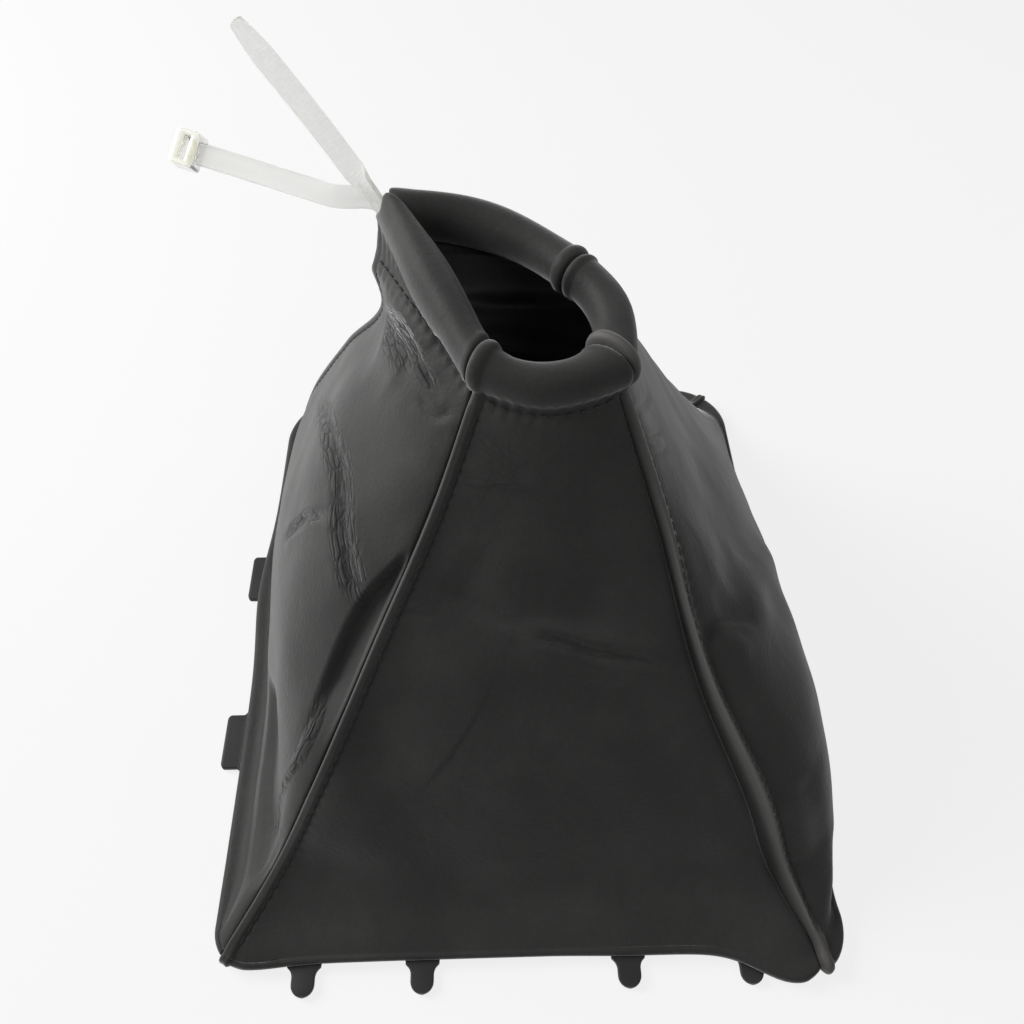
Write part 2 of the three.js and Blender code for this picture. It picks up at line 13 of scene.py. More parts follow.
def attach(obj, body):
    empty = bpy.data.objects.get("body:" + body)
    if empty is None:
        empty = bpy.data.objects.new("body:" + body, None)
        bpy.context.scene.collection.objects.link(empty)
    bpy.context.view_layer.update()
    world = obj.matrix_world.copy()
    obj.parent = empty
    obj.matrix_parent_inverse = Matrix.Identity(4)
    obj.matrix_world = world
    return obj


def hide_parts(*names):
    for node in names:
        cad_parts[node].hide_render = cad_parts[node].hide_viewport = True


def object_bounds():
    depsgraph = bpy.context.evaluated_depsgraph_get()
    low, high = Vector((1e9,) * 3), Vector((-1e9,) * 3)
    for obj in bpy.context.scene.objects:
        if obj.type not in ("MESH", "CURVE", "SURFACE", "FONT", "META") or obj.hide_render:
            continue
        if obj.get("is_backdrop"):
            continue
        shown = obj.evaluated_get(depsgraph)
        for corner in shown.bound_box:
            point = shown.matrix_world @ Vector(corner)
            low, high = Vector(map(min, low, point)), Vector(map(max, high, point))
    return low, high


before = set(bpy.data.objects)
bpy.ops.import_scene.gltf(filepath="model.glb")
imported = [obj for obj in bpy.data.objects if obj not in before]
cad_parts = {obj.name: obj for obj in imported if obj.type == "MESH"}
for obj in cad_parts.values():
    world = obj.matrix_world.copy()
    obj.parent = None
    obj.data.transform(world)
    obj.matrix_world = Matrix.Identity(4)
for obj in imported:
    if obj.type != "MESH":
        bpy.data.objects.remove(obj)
cad_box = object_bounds()
MM = 0.001
print("solids:", sorted(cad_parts))

# %% [markdown]
# The camera stands where the photograph was taken from: high in front of the gaiter, close enough
# for the base to look much wider than the collar. A turn about the vertical, a rise and a small
# roll give its three axes, which are the columns of a rotation matrix.

# %% Camera
CAMERA_AT = (-7.25, -163.49, 258.6)
TURN, RISE, ROLL = np.radians([-2.07, 51.27, 0.53])
SENSOR = 36.0
FOCAL_SHARE = 1000 / 1024  # focal length as a share of the picture's width


def camera_axes(turn, rise, roll):
    """Right, up and backward axes: backward is the direction at that turn and rise, right is level
    and square to it, and the roll turns right towards up."""
    back = np.array([np.sin(turn) * np.cos(rise), -np.cos(turn) * np.cos(rise), np.sin(rise)])
    right = np.cross(-back, [0, 0, 1])
    right /= np.linalg.norm(right)
    up = np.cross(right, -back)
    return (right * np.cos(roll) + up * np.sin(roll), up * np.cos(roll) - right * np.sin(roll), back)


lens = bpy.data.cameras.new("camera")
lens.sensor_width, lens.lens = SENSOR, SENSOR * FOCAL_SHARE
lens.clip_start, lens.clip_end = 0.01, 20
camera = bpy.data.objects.new("camera", lens)
bpy.context.scene.collection.objects.link(camera)
camera.matrix_world = (Matrix.Translation(Vector(CAMERA_AT) * MM)
                       @ Matrix(np.array(camera_axes(TURN, RISE, ROLL)).T.tolist()).to_4x4())
bpy.context.scene.camera = camera
print("camera", tuple(round(c, 4) for c in camera.location))

# %% [markdown]
# The sizes repeat the solids' own: the leather outline over the frame, the height of the collar,
# and the thin things such as leather, rails and strap. Points on the sleeve are shares of the
# three main sizes.

# %% Sizes in millimetres
WIDTH, LENGTH, COLLAR_HEIGHT = 152.8, 193.2, 120.0
CORNER_RADII = np.array([9.0, 9.0, 18.0, 22.0])  # front left, front right, back right, back left
LEATHER, CLEARANCE = 1.2, 0.3
FRAME_THICKNESS, RAIL_WIDTH = 2.5, 10.0
TONGUE_WIDTH, TONGUE_REACH = 5.6, 6.9
TAB_WIDTH, TAB_REACH = 16.0, 5.6
STRAP_WIDTH, STRAP_THICKNESS = 5.2, 1.2
HEAD_SIZE = [6.2, 5.0, 8.4]  # cable tie head: along the strap, through it and across it
HALF = LEATHER / 2
HALF_X, HALF_Y = WIDTH / 2, LENGTH / 2
CLIP_THICKNESS = FRAME_THICKNESS * 0.64
STRIP_Z = FRAME_THICKNESS + CLEARANCE + HALF
ROOT_Z = STRIP_Z + 0.8
TUBE_RISE = STRAP_WIDTH / 2 + HALF + 1.4
TUBE_REACH = STRAP_WIDTH / 2 + HALF + 0.8


def spot(x, y, z):
    """Point given by shares of width, length and collar height."""
    return np.array([x * WIDTH, y * LENGTH, z * COLLAR_HEIGHT])


print(f"outline {WIDTH} x {LENGTH}, collar at {COLLAR_HEIGHT}")

# %% [markdown]
# Every shape below is arithmetic on whole arrays. Four small functions do most of the shaping: a
# smooth step, a bell, a rounded shoulder, and a smooth curve through given points.

# %% Shaping functions
def smooth(x, low, high):
    """0 below low, 1 above high and 3q² - 2q³ between, where q is the share of the way."""
    q = np.clip((x - low) / (high - low), 0, 1)
    return q * q * (3 - 2 * q)


def bell(x, width):
    """exp(-(x / width)²): 1 at zero, nearly gone at twice the width."""
    return np.exp(-(np.asarray(x) / width) ** 2)


def shoulder(x, radius):
    """Quarter circle: square root of 1 - (1 - x / radius)², from 0 at the edge to 1."""
    return np.sqrt(1 - (1 - np.clip(x / radius, 0, 1)) ** 2)


def curve(knots, values, t):
    """Smooth curve through the values: between two knots a cubic with the slopes of its ends."""
    x, y, t = np.asarray(knots, float), np.asarray(values, float), np.asarray(t, float)
    y2 = y.reshape(len(y), -1)
    h = np.diff(x)[:, None]
    rise = np.diff(y2, axis=0) / h
    inner = (rise[:-1] * h[1:] + rise[1:] * h[:-1]) / (h[:-1] + h[1:])
    slope = np.concatenate([rise[:1], inner, rise[-1:]])
    i = np.clip(np.searchsorted(x, t, side="right") - 1, 0, len(x) - 2)
    h, q = h[i], ((t - x[i])[..., None] / h[i])
    p = ((2 * q**3 - 3 * q**2 + 1) * y2[i] + (3 * q**2 - 2 * q**3) * y2[i + 1]
         + (q**3 - 2 * q**2 + q) * h * slope[i] + (q**3 - q**2) * h * slope[i + 1])
    return p[..., 0] if y.ndim == 1 else p


def unit(v):
    """Vectors divided by their lengths."""
    return v / np.maximum(np.linalg.norm(v, axis=-1, keepdims=True), 1e-9)


def reach_along(points, axis=0):
    """Distance run along a path of points, or along the rows or columns of a grid, from 0 at the
    first: the sum of the lengths of the steps up to each point."""
    steps = np.linalg.norm(np.diff(points, axis=axis), axis=-1)
    start = np.zeros_like(steps.take([0], axis))
    return np.concatenate([start, np.cumsum(steps, axis=axis)], axis)


print("curve check:", curve([0, 1, 2], [0, 1, 4], [0.5, 1.5]))

# %% [markdown]
# The base outline is a rectangle with round corners, walked counter-clockwise from the middle of
# the front left corner. The leather doesn't follow it exactly: at the front right corner too much
# leather is bunched up and hangs over the rail, so bell curves push the outline in and out.

# %% Base outline
# Sides: 0 front, 1 right, 2 back, 3 left. Corner k stands at the start of side k.
NEXT_RADII = np.roll(CORNER_RADII, -1)
SIDE_STRAIGHT = np.array([HALF_X, HALF_Y] * 2) * 2 - CORNER_RADII - NEXT_RADII
SIDE_LENGTH = SIDE_STRAIGHT + np.pi / 4 * (CORNER_RADII + NEXT_RADII)
SIDE_START = np.concatenate([[0], np.cumsum(SIDE_LENGTH)])
ROUND = SIDE_START[4]
SEAM_SHIFT = 5.2  # the front right seam stands this far before the middle of its corner
SEAM_START = SIDE_START - [0, SEAM_SHIFT, 0, 0, 0]


def front_at(x):
    """Distance along the outline of a place on the front side, given as a share of the width."""
    return x * WIDTH + HALF_X + CORNER_RADII[0] * (np.pi / 4 - 1)


# Place along the outline, reach along it and how far the leather stands out there.
BUNCHES = [(front_at(0.422), 12, 7.2), (front_at(-0.432), 9, 0.9), (SEAM_START[1], 1.6, -1.3),
           (SIDE_START[3] + 0.43 * SIDE_LENGTH[3], 21, 2.3), (SIDE_START[1] + 0.16 * SIDE_LENGTH[1], 20, 2)]


def outline(s, inset):
    """Point s along the outline and inset inwards: straight sides, quarter arcs at the corners,
    and at each bunch a bell curve outwards; each side is worked out as the front and turned."""
    s = np.asarray(s, float) % ROUND
    side = np.clip(np.searchsorted(SIDE_START, s, side="right") - 1, 0, 3)
    half, depth = np.where(side % 2, HALF_Y, HALF_X), np.where(side % 2, HALF_X, HALF_Y)
    flat = s - SIDE_START[side] - np.pi / 4 * CORNER_RADII[side]
    corner = np.where(flat < SIDE_STRAIGHT[side] / 2, CORNER_RADII[side], NEXT_RADII[side])
    angle = np.where(flat < 0, flat, np.maximum(flat - SIDE_STRAIGHT[side], 0)) / corner
    radius = corner - inset
    for place, width, amount in BUNCHES:
        away = (s - place + 1.5 * ROUND) % ROUND - ROUND / 2
        radius = radius + amount * bell(away, width)
    x = np.clip(flat, 0, SIDE_STRAIGHT[side]) - half + CORNER_RADII[side] + radius * np.sin(angle)
    y = corner - depth - radius * np.cos(angle)
    c, sn = np.cos(side * np.pi / 2), np.sin(side * np.pi / 2)
    return np.stack([x * c - y * sn, x * sn + y * c], -1)


print("front right corner stands out to", outline(front_at(0.422), 0).round(1))

# %% [markdown]
# Each panel runs from the rail up to the hem between two seams. The seams were placed along
# the photograph's, as curves through a few points. Between them the panel is a straight blend, to
# which the bend of the base outline, the bow of the hem and a billow outwards are added.

# %% Sleeve
# Width of leather that lies flat on the rail, at the corners and in the middle of the sides.
CORNER_STRIP = [1.9, 6.0, 8.0, 3.0]
SIDE_STRIP = [3.0, 2.2, 4.0, 6.5]
# Places that each seam passes between the rail and the hem.
SEAMS = [
    [spot(-0.398, -0.392, 0.117), spot(-0.332, -0.34, 0.275), spot(-0.222, -0.22, 0.517),
     spot(-0.122, -0.113, 0.742)],
    [spot(0.387, -0.411, 0.117), spot(0.353, -0.367, 0.225), spot(0.265, -0.259, 0.442),
     spot(0.196, -0.135, 0.7)],
    [spot(0.34, 0.365, 0.217), spot(0.262, 0.264, 0.483), spot(0.178, 0.171, 0.75)],
    [spot(-0.425, 0.36, 0.2), spot(-0.373, 0.295, 0.4), spot(-0.287, 0.233, 0.622),
     spot(-0.209, 0.171, 0.825)],
]
# Corners of the hem line and of the tube's centre line, then how far the middle of each side bows
# outwards and lifts.
HEM = np.array([spot(-0.068, -0.053, 0.904), spot(0.137, -0.062, 0.904), spot(0.105, 0.104, 0.942),
                spot(-0.221, 0.155, 0.935)])
TUBE = np.array([spot(-0.059, -0.036, 0.95), spot(0.124, -0.039, 0.946), spot(0.085, 0.088, 0.983),
                 spot(-0.187, 0.181, 1.013)])
HEM_BOW, HEM_LIFT = [4.5, 4, 7, -0.6], [-2.3, 0, 1, 3.2]
TUBE_BOW, TUBE_LIFT = [4.6, 4.2, 6.5, -0.3], [-2, 0, -0.5, 0.2]
# For each side, shares up the wall and how far the panel stands out there.
BILLOW = [
    ([0, 0.15, 0.3, 0.5, 0.7, 0.85, 1], [0, 1.5, 2.5, 2, 1.5, 1, 0]),
    ([0, 0.03, 0.08, 0.15, 0.3, 0.5, 0.7, 0.85, 1], [0, 4, 10, 15.5, 18, 11.5, 5, 1.5, 0]),
    ([0, 0.15, 0.3, 0.5, 0.7, 0.85, 1], [0, 6, 9, 9, 7, 4, 0]),
    ([0, 0.15, 0.3, 0.5, 0.7, 0.85, 1], [0, 6, 10, 12, 11, 6, 0]),
]
# A power under 1 makes a billow fuller, and a skew other than 1 moves its top towards one seam.
BILLOW_POWER, BILLOW_SKEW = [1, 0.6, 0.8, 0.75], [1, 0.5, 1, 1.3]
OUT_RISE, OUT_GAIN = 0.05, 0.75  # how steeply a billow points up at the rail, and more at the hem


def strip_width(side, u):
    """Width of leather flat on the rail: the side's own, eased to the corners' by bells."""
    length = SEAM_START[side + 1] - SEAM_START[side]
    middle = SIDE_STRIP[side]
    return (middle + (CORNER_STRIP[side] - middle) * bell(u * length, 12)
            + (CORNER_STRIP[(side + 1) % 4] - middle) * bell((1 - u) * length, 12))


def base_point(side, u, inset, z):
    """Point over the rail, at share u of the side, inset from the outline, at height z."""
    u = np.asarray(u, float)
    flat = outline(SEAM_START[side] + u * (SEAM_START[side + 1] - SEAM_START[side]), inset)
    return np.concatenate([flat, np.broadcast_to(z, u.shape)[..., None]], -1)


def root_point(side, u):
    """Where the wall leaves the rail."""
    return base_point(side, u, strip_width(side, u), ROOT_Z)


def loop_point(corners, bow, lift, side, u):
    """Bowed side of a loop of four corners: the chord plus 4u(1 - u) times its bow and lift."""
    a, b = corners[side], corners[(side + 1) % 4]
    out = unit(np.array([b[1] - a[1], a[0] - b[0], 0]))
    u = np.asarray(u, float)[..., None]
    return a + (b - a) * u + (out * bow[side] + [0, 0, lift[side]]) * 4 * u * (1 - u)


def seam_point(side, t):
    """Seam at the start of the side: a smooth curve from the root through its points to the hem."""
    points = np.array([root_point(side, 0.0), *SEAMS[side], HEM[side]])
    reach = reach_along(points)
    return curve(reach / reach[-1], points, t)


def wall_point(side, u, t):
    """Panel between its seams: blend of both, plus (1 - t)³ of the base's bend, t to the 1.6 of
    the hem's, plus the billow times a power of the sine of the share across."""
    nxt = (side + 1) % 4
    a, b = seam_point(side, t), seam_point(nxt, t)
    w, h = u[..., None], t[..., None]
    base = root_point(side, u) - (1 - w) * root_point(side, 0.0) - w * root_point(nxt, 0.0)
    hem = loop_point(HEM, HEM_BOW, HEM_LIFT, side, u) - (1 - w) * HEM[side] - w * HEM[nxt]
    out = unit(np.stack([b[..., 1] - a[..., 1], a[..., 0] - b[..., 0], 0 * t], -1))
    out[..., 2] = OUT_RISE + OUT_GAIN * t
    across = np.maximum(np.sin(np.pi * u ** BILLOW_SKEW[side]), 0) ** BILLOW_POWER[side]
    swell = curve(*BILLOW[side], t) * across
    return ((1 - w) * a + w * b + (1 - h) ** 3 * base + h**1.6 * hem + unit(out) * swell[..., None])


print("seam lengths", [round(reach_along(seam_point(k, np.linspace(0, 1, 60)))[-1]) for k in range(4)])

# %% [markdown]
# The hem tube is the same leather turned over the cable tie and sewn down. Its cross-section is an
# ellipse carried round a loop of four bowed sides, and at each corner the section stands on the
# line that halves the corner, as a mitre does. Between the corners the tube swells a little.

# %% Hem tube
TUBE_SWELL = 0.05
# Half heights above and below the centre line, at the four corners.
TUBE_UP, TUBE_DOWN = TUBE_RISE + np.array([0.2, 0, 0, 1.4]), TUBE_RISE + np.array([0.6, 0.6, 0, 0.8])


def corner_out(corner, most=1.55):
    """Direction that halves the corner of the tube, longer where the corner is sharp."""
    before = unit((TUBE[corner] - TUBE[corner - 1])[:2])
    after = unit((TUBE[(corner + 1) % 4] - TUBE[corner])[:2])
    n = unit(np.array([before[1] + after[1], -before[0] - after[0]]))
    return n * min(1 / max(n[0] * after[1] - n[1] * after[0], 0.1), most)


def tube_centre(side, u):
    return loop_point(TUBE, TUBE_BOW, TUBE_LIFT, side, u)


def tube_point(side, u, degrees):
    """Centre plus the outward direction times the cosine and the vertical times the sine; the
    direction turns from one corner's to the next, and to the side's own in the middle."""
    w, middle = smooth(u, 0, 1)[..., None], np.sin(np.pi * u)[..., None]
    a, b = TUBE[side], TUBE[(side + 1) % 4]
    straight = unit(np.array([b[1] - a[1], a[0] - b[0]]))
    after = (side + 1) % 4
    out = ((1 - w) * corner_out(side) + w * corner_out(after)) * (1 - middle) + straight * middle
    size = 1 - TUBE_SWELL / 2 + TUBE_SWELL * middle
    angle = np.radians(degrees)[..., None]
    up, down = ((1 - w) * height[side] + w * height[after] for height in (TUBE_UP, TUBE_DOWN))
    rise = np.where(angle < 0, down, np.where(angle > np.pi, down, up))
    return tube_centre(side, u) + np.concatenate(
        [out * TUBE_REACH * size * np.cos(angle), rise * size * np.sin(angle)], -1)


sides_of_tube = [reach_along(tube_centre(k, np.linspace(0, 1, 40)))[-1] for k in range(4)]
print("tube round", round(sum(sides_of_tube)), "mm")

# %% [markdown]
# A panel's grid has rows from the cut edge under the rail, over the rail, up the wall and round
# the tube, and columns at set distances from its two seams, close together near the seams where
# the relief is fine. Near a seam they sit at the same distances in every row, so that its raised
# band keeps its width all the way up.

# %% Grid of a panel
# Inset from the outline and height of the rows round the rail's edge, from the cut edge below.
EDGE_ROWS = np.array([[0.6, 1.9], [0.6, 2.4], [0.63, 2.85], [0.78, 3.15], [1.05, 3.33], [1.5, 3.4]])
STRIP_ROWS = np.array([0.25, 0.5, 0.75, 1.0])
WALL_ROWS = np.concatenate([np.linspace(0, 0.05, 9)[:-1], np.linspace(0.05, 1, 170)])
TUBE_ROWS = np.linspace(-40, 250, 42)
FIRST_WALL = len(EDGE_ROWS) + len(STRIP_ROWS)
HEM_ROW = FIRST_WALL + len(WALL_ROWS) - 1
# Distances of the first columns from the left seam, and of the last ones from the right seam.
NEAR = np.array([0, 0.08, 0.2, 0.38, 0.6, 0.9, 1.25, 1.6, 1.95, 2.25, 2.5, 2.75, 3.0, 3.3, 3.7, 4.2,
                 4.8, 5.5])
FAR = np.array([3.2, 2.4, 1.8, 1.3, 0.9, 0.6, 0.38, 0.2, 0.08, 0])
STITCH_COLUMN = int(np.argmin(abs(NEAR - 2.75)))
MIDDLE_COLUMNS, MEASURING_STEPS = 150, 240
# The tube is open at the back left corner, where the tie leaves it: depth of the cut in
# millimetres, then its middle and its spread in degrees round the tube.
BACK_LEFT_CUT, CUT_AT, CUT_ROUND = 5.0, 25, 40
ROW_ANGLE = np.concatenate([np.full(HEM_ROW + 1, -60.0), TUBE_ROWS])


def panel_points(side, u):
    """Every row of the panel at the shares u, one row of u for each row of the grid."""
    base = [base_point(side, u[j], inset, z) for j, (inset, z) in enumerate(EDGE_ROWS)]
    first = EDGE_ROWS[-1, 0]
    for j, share in enumerate(STRIP_ROWS, len(EDGE_ROWS)):
        last = np.maximum(strip_width(side, u[j]) - 0.9, first + 0.2)
        base.append(base_point(side, u[j], first + (last - first) * share, STRIP_Z + 0.15 * share**2))
    rows = u[FIRST_WALL:HEM_ROW + 1]
    wall = wall_point(side, rows, np.broadcast_to(WALL_ROWS[:, None], rows.shape))
    rows = u[HEM_ROW + 1:]
    tube = tube_point(side, rows, np.broadcast_to(TUBE_ROWS[:, None], rows.shape))
    return np.concatenate([np.array(base), wall, tube])


def panel_grid(side):
    """Middle surface and each point's distances from the left and the right seam. The row's length
    is measured on many small steps, and the columns' distances are turned back into shares of it."""
    fine = np.linspace(0, 1, MEASURING_STEPS + 1)
    rows = panel_points(side, np.broadcast_to(fine, (len(ROW_ANGLE), len(fine))))
    reach = reach_along(rows, axis=1)
    cut = BACK_LEFT_CUT * bell(ROW_ANGLE - CUT_AT, CUT_ROUND)
    left, right = cut * (side == 3), reach[:, -1] - cut * (side == 2)
    shares = np.linspace(0, 1, MIDDLE_COLUMNS + 2)[1:-1]
    start, stop = left + NEAR[-1], right - FAR[0]
    stops = np.concatenate([left[:, None] + NEAR, start[:, None] + (stop - start)[:, None] * shares,
                            right[:, None] - FAR], axis=1)
    u = np.array([np.interp(stop, run, fine) for stop, run in zip(stops, reach)])
    return panel_points(side, u), stops - left[:, None], right[:, None] - stops


def even_out(points, first, last, times):
    """Rounds a fold between two rows: each point moves to half itself and a quarter of each of its
    neighbours up and down, over and over."""
    for _ in range(times):
        inner = points[first:last]
        points[first:last] = inner / 2 + (points[first - 1:last - 1] + points[first + 1:last + 1]) / 4
    return points


grids, near_seam, far_seam = [], [], []
for side in range(4):
    points, near, far = panel_grid(side)
    points = even_out(points, FIRST_WALL - 2, FIRST_WALL + 8, 6)
    grids.append(even_out(points, HEM_ROW - 1, HEM_ROW + 3, 2))
    near_seam.append(near)
    far_seam.append(far)
print("grid of a panel", grids[0].shape[:2], "rows and columns")

# %% [markdown]
# The sheet gets its thickness along normals. At a seam the two panels meet at an angle, so both
# use one shared direction there, half way between their own, and turn to their own a few
# millimetres further in. Otherwise the sheets would open or cross at the seam.

# %% Normals shared at the seams
SHARED_REACH = 4.0


def grid_normals(points):
    """Cross product of the steps across and up the grid, pointing out of the sleeve."""
    return unit(np.cross(np.gradient(points, axis=1), np.gradient(points, axis=0)))


own_normals = [grid_normals(p) for p in grids]


def shared_normals(side):
    """Own normal, mixed near each seam with the mean of both panels' normals a little way in."""
    n = own_normals[side]
    before, after = own_normals[side - 1], own_normals[(side + 1) % 4]
    inwards = len(NEAR) - 6
    left = unit(n[:, inwards] + before[:, -len(FAR)])
    right = unit(n[:, -len(FAR)] + after[:, inwards])
    closed = ROW_ANGLE < -50
    wl = (1 - smooth(near_seam[side], 0, SHARED_REACH)) * (closed | (side != 3))[:, None]
    wr = (1 - smooth(far_seam[side], 0, SHARED_REACH)) * (closed | (side != 2))[:, None]
    n = n * (1 - wl - wr)[..., None] + left[:, None] * wl[..., None] + right[:, None] * wr[..., None]
    return unit(n)


normals = [shared_normals(side) for side in range(4)]
outwards = [bool((n[40, 70] * grids[k][40, 70])[:2].sum() > 0) for k, n in enumerate(normals)]
print("normals point out:", outwards)

# %% [markdown]
# A seam on the real sleeve has both cut edges turned to one side and stitched down on top, so a
# raised band runs beside it. The leather rolls down into a narrow groove at the seam itself, dips
# at the stitches and puckers between them. Round the tube the turned edges pile up to a thick bead.
# All of this is the height of the outer face over the middle surface, by distance from the seams.

# %% Relief beside the seams
# One value for each seam, from front left counter-clockwise.
BAND_RAISE, GROOVE = [0.8, 1.4, 0.9, 0.5], [0.0, -0.6, -0.4, 0.0]
SEAM_SINK = [0.15, 0.5, 0.5, 0.1]  # how far the whole sheet dips
SINK_REACH = 1.2
STITCH_PITCH, STITCH_AT = 3.0, NEAR[STITCH_COLUMN]
BEAD_WIDTH, BEAD_RAISE = 3.2, [0.75, 0.9, 0.75, 0.0]
EDGE_WIDTH, EDGE_RAISE = 2.4, [0.2, 0.2, 0.6, 0.0]  # lesser ridge on the other side of each seam
BAND_END, ROLL_AT, ROLL_RAISE = (2.3, 3.1), 0.75, 0.35  # a flat band falls off here, its roll is there
CORD_MIDDLE, CORD_HALF = 1.6, 1.75
STITCH_DIP, PUCKER_DIP, PUCKER_AT = 0.42, 0.16, 0.6
NEAR_ROLL, FAR_ROLL = 0.9, 0.8  # radius in which either side of a seam rolls down to the groove
HEM_GROOVE, HEM_PUCKER = [0.75, 0.5, 0.5, 0.85], 0.25
FLAT_BAND, CORD_BAND = "flat", "cord"
BANDS = [FLAT_BAND, CORD_BAND, FLAT_BAND, FLAT_BAND]


def hump(x):
    """Half circle: square root of 1 - x², from 0 at -1 over 1 in the middle to 0 at 1."""
    return np.sqrt(np.maximum(1 - x**2, 0))


def seam_height(side):
    """Half the leather, plus the band or bead, less the dip at the stitches, all rolled down as a
    quarter circle to the groove at either seam."""
    near, far, after = near_seam[side], far_seam[side], (side + 1) % 4
    flat = 1 - smooth(near, *BAND_END) + ROLL_RAISE * bell(near - ROLL_AT, 0.45)
    cord = hump((near - CORD_MIDDLE) / CORD_HALF)
    band = BAND_RAISE[side] * (cord if BANDS[side] == CORD_BAND else flat)
    bead = (BEAD_RAISE[side] * hump(2 * near / BEAD_WIDTH - 1)
            + EDGE_RAISE[after] * hump(2 * far / EDGE_WIDTH - 1))
    rows = np.arange(len(ROW_ANGLE))[:, None]
    on_tube = smooth(rows, HEM_ROW - 5, HEM_ROW)
    along = reach_along(grids[side])[:, STITCH_COLUMN][:, None]
    wave = np.cos(2 * np.pi * along / STITCH_PITCH)
    stitched = (1 - on_tube) * smooth(rows, FIRST_WALL, FIRST_WALL + 4)
    dip = (-STITCH_DIP * bell(near - STITCH_AT, 0.45)
           - PUCKER_DIP * wave * bell(near - STITCH_AT - PUCKER_AT, 0.9))
    height = HALF + band * (1 - on_tube) + bead * on_tube + dip * stitched
    left, right = shoulder(near, NEAR_ROLL), shoulder(far, FAR_ROLL)
    return height * left * right + GROOVE[side] * (1 - left) + GROOVE[after] * (1 - right)


def seam_sink(side):
    """Dip of the middle surface at both seams, a bell by the distance from each."""
    after = (side + 1) % 4
    return -(SEAM_SINK[side] * bell(near_seam[side], SINK_REACH)
             + SEAM_SINK[after] * bell(far_seam[side], SINK_REACH))


def hem_height(side):
    """Groove where the tube is sewn to the wall, a bell across the rows, with small puckers."""
    rows = np.arange(len(ROW_ANGLE))[:, None]
    wave = 0.5 + 0.5 * np.cos(2 * np.pi * near_seam[side] / STITCH_PITCH)
    groove = HEM_GROOVE[side] * bell(rows - HEM_ROW - 0.3, 1.0)
    return -groove - HEM_PUCKER * wave * bell(rows - HEM_ROW, 2.2)


print("beads stand", BEAD_RAISE, "over the tube")

# %% [markdown]
# Soft leather is never smooth. Each crease that the photograph shows is a line in the panel's own
# terms, share across and share up, with a width and a depth. The surface sinks along the line and
# rises a little beside it. A weaker swell of many long waves keeps the rest from looking machined,
# and the same lines feed an attribute that the leather's finish uses for fine cracks.

# %% Creases and swell
# (share across, share up) points, width and depth in millimetres, crackle. A depth below zero
# raises a ridge.
CREASES = {
    0: [([(0.015, 0.652), (0.092, 0.645), (0.18, 0.64)], 1.2, 0.7, 0.2),
        ([(0.015, 0.668), (0.1, 0.664), (0.17, 0.658)], 0.9, 0.4, 0.2),
        ([(0.45, 0.628), (0.593, 0.61), (0.69, 0.588), (0.782, 0.575), (0.96, 0.54)], 1.7, 1.3, 0.36),
        ([(0.055, 0.87), (0.228, 0.875), (0.48, 0.875)], 0.9, -0.35, 0.42),
        ([(0.08, 0.95), (0.25, 0.93), (0.45, 0.9)], 5, 0.3, 0.28),
        ([(0.35, 0.47), (0.5, 0.52), (0.72, 0.5), (0.93, 0.42)], 7, 0.8, 0),
        ([(0.06, 0.3), (0.2, 0.2), (0.42, 0.16), (0.7, 0.19)], 12, -1.4, 0)],
    1: [([(0.04, 0.955), (0.2, 0.925), (0.5, 0.84)], 1.2, 0.4, 0),
        ([(0.03, 0.925), (0.15, 0.88), (0.35, 0.81)], 1.1, 0.4, 0),
        ([(0.03, 0.89), (0.15, 0.845), (0.3, 0.79)], 1.1, 0.35, 0),
        ([(0.003, 0.557), (0.03, 0.57), (0.07, 0.545), (0.13, 0.48)], 2.2, 0.9, 0.2),
        ([(0.613, 0.18), (0.348, 0.405), (0.14, 0.485)], 6, -1.2, 0),
        ([(0.328, 0.545), (0.182, 0.542), (0.06, 0.59)], 6, 0.8, 0.1),
        ([(0.03, 0.29), (0.035, 0.2), (0.04, 0.12)], 5, 1.5, 0)],
    2: [([(0.2, 0.8), (0.45, 0.7), (0.7, 0.76)], 4, 0.8, 0.2),
        ([(0.3, 0.3), (0.5, 0.34), (0.75, 0.3)], 3, 0.6, 0.2)],
    3: [([(0.217, 0.573), (0.398, 0.657), (0.605, 0.69), (0.713, 0.677), (0.787, 0.652), (0.845, 0.638),
          (0.895, 0.625), (0.94, 0.613)], 2.4, 1.2, 1),
        ([(0.55, 0.44), (0.593, 0.51), (0.635, 0.568), (0.72, 0.635)], 1.5, 0.9, 0.55),
        ([(0.273, 0.945), (0.453, 0.955), (0.588, 0.95), (0.698, 0.943), (0.825, 0.945)], 1.2, 1.1, 1),
        ([(0.2, 0.9), (0.465, 0.927), (0.66, 0.927)], 3.6, 2.0, 0.8),
        ([(0.73, 0.905), (0.858, 0.915), (0.95, 0.953)], 1.5, 0.6, 0.3),
        ([(0.93, 0.463), (0.955, 0.372), (0.938, 0.255), (0.93, 0.173), (0.915, 0.085)], 1.4, -0.8, 0.7),
        ([(0.3, 0.03), (0.6, 0.02), (0.8, 0.015), (0.97, 0.015)], 4.5, -0.3, 0)],
}


CRACKED = 1.8  # reach of the cracks, in widths of the crease
BESIDE, BESIDE_REACH = 0.55, 2.6  # rise beside a crease, a share of its depth, and reach in widths
ENDS = 0.12  # what is left of a crease at its two ends
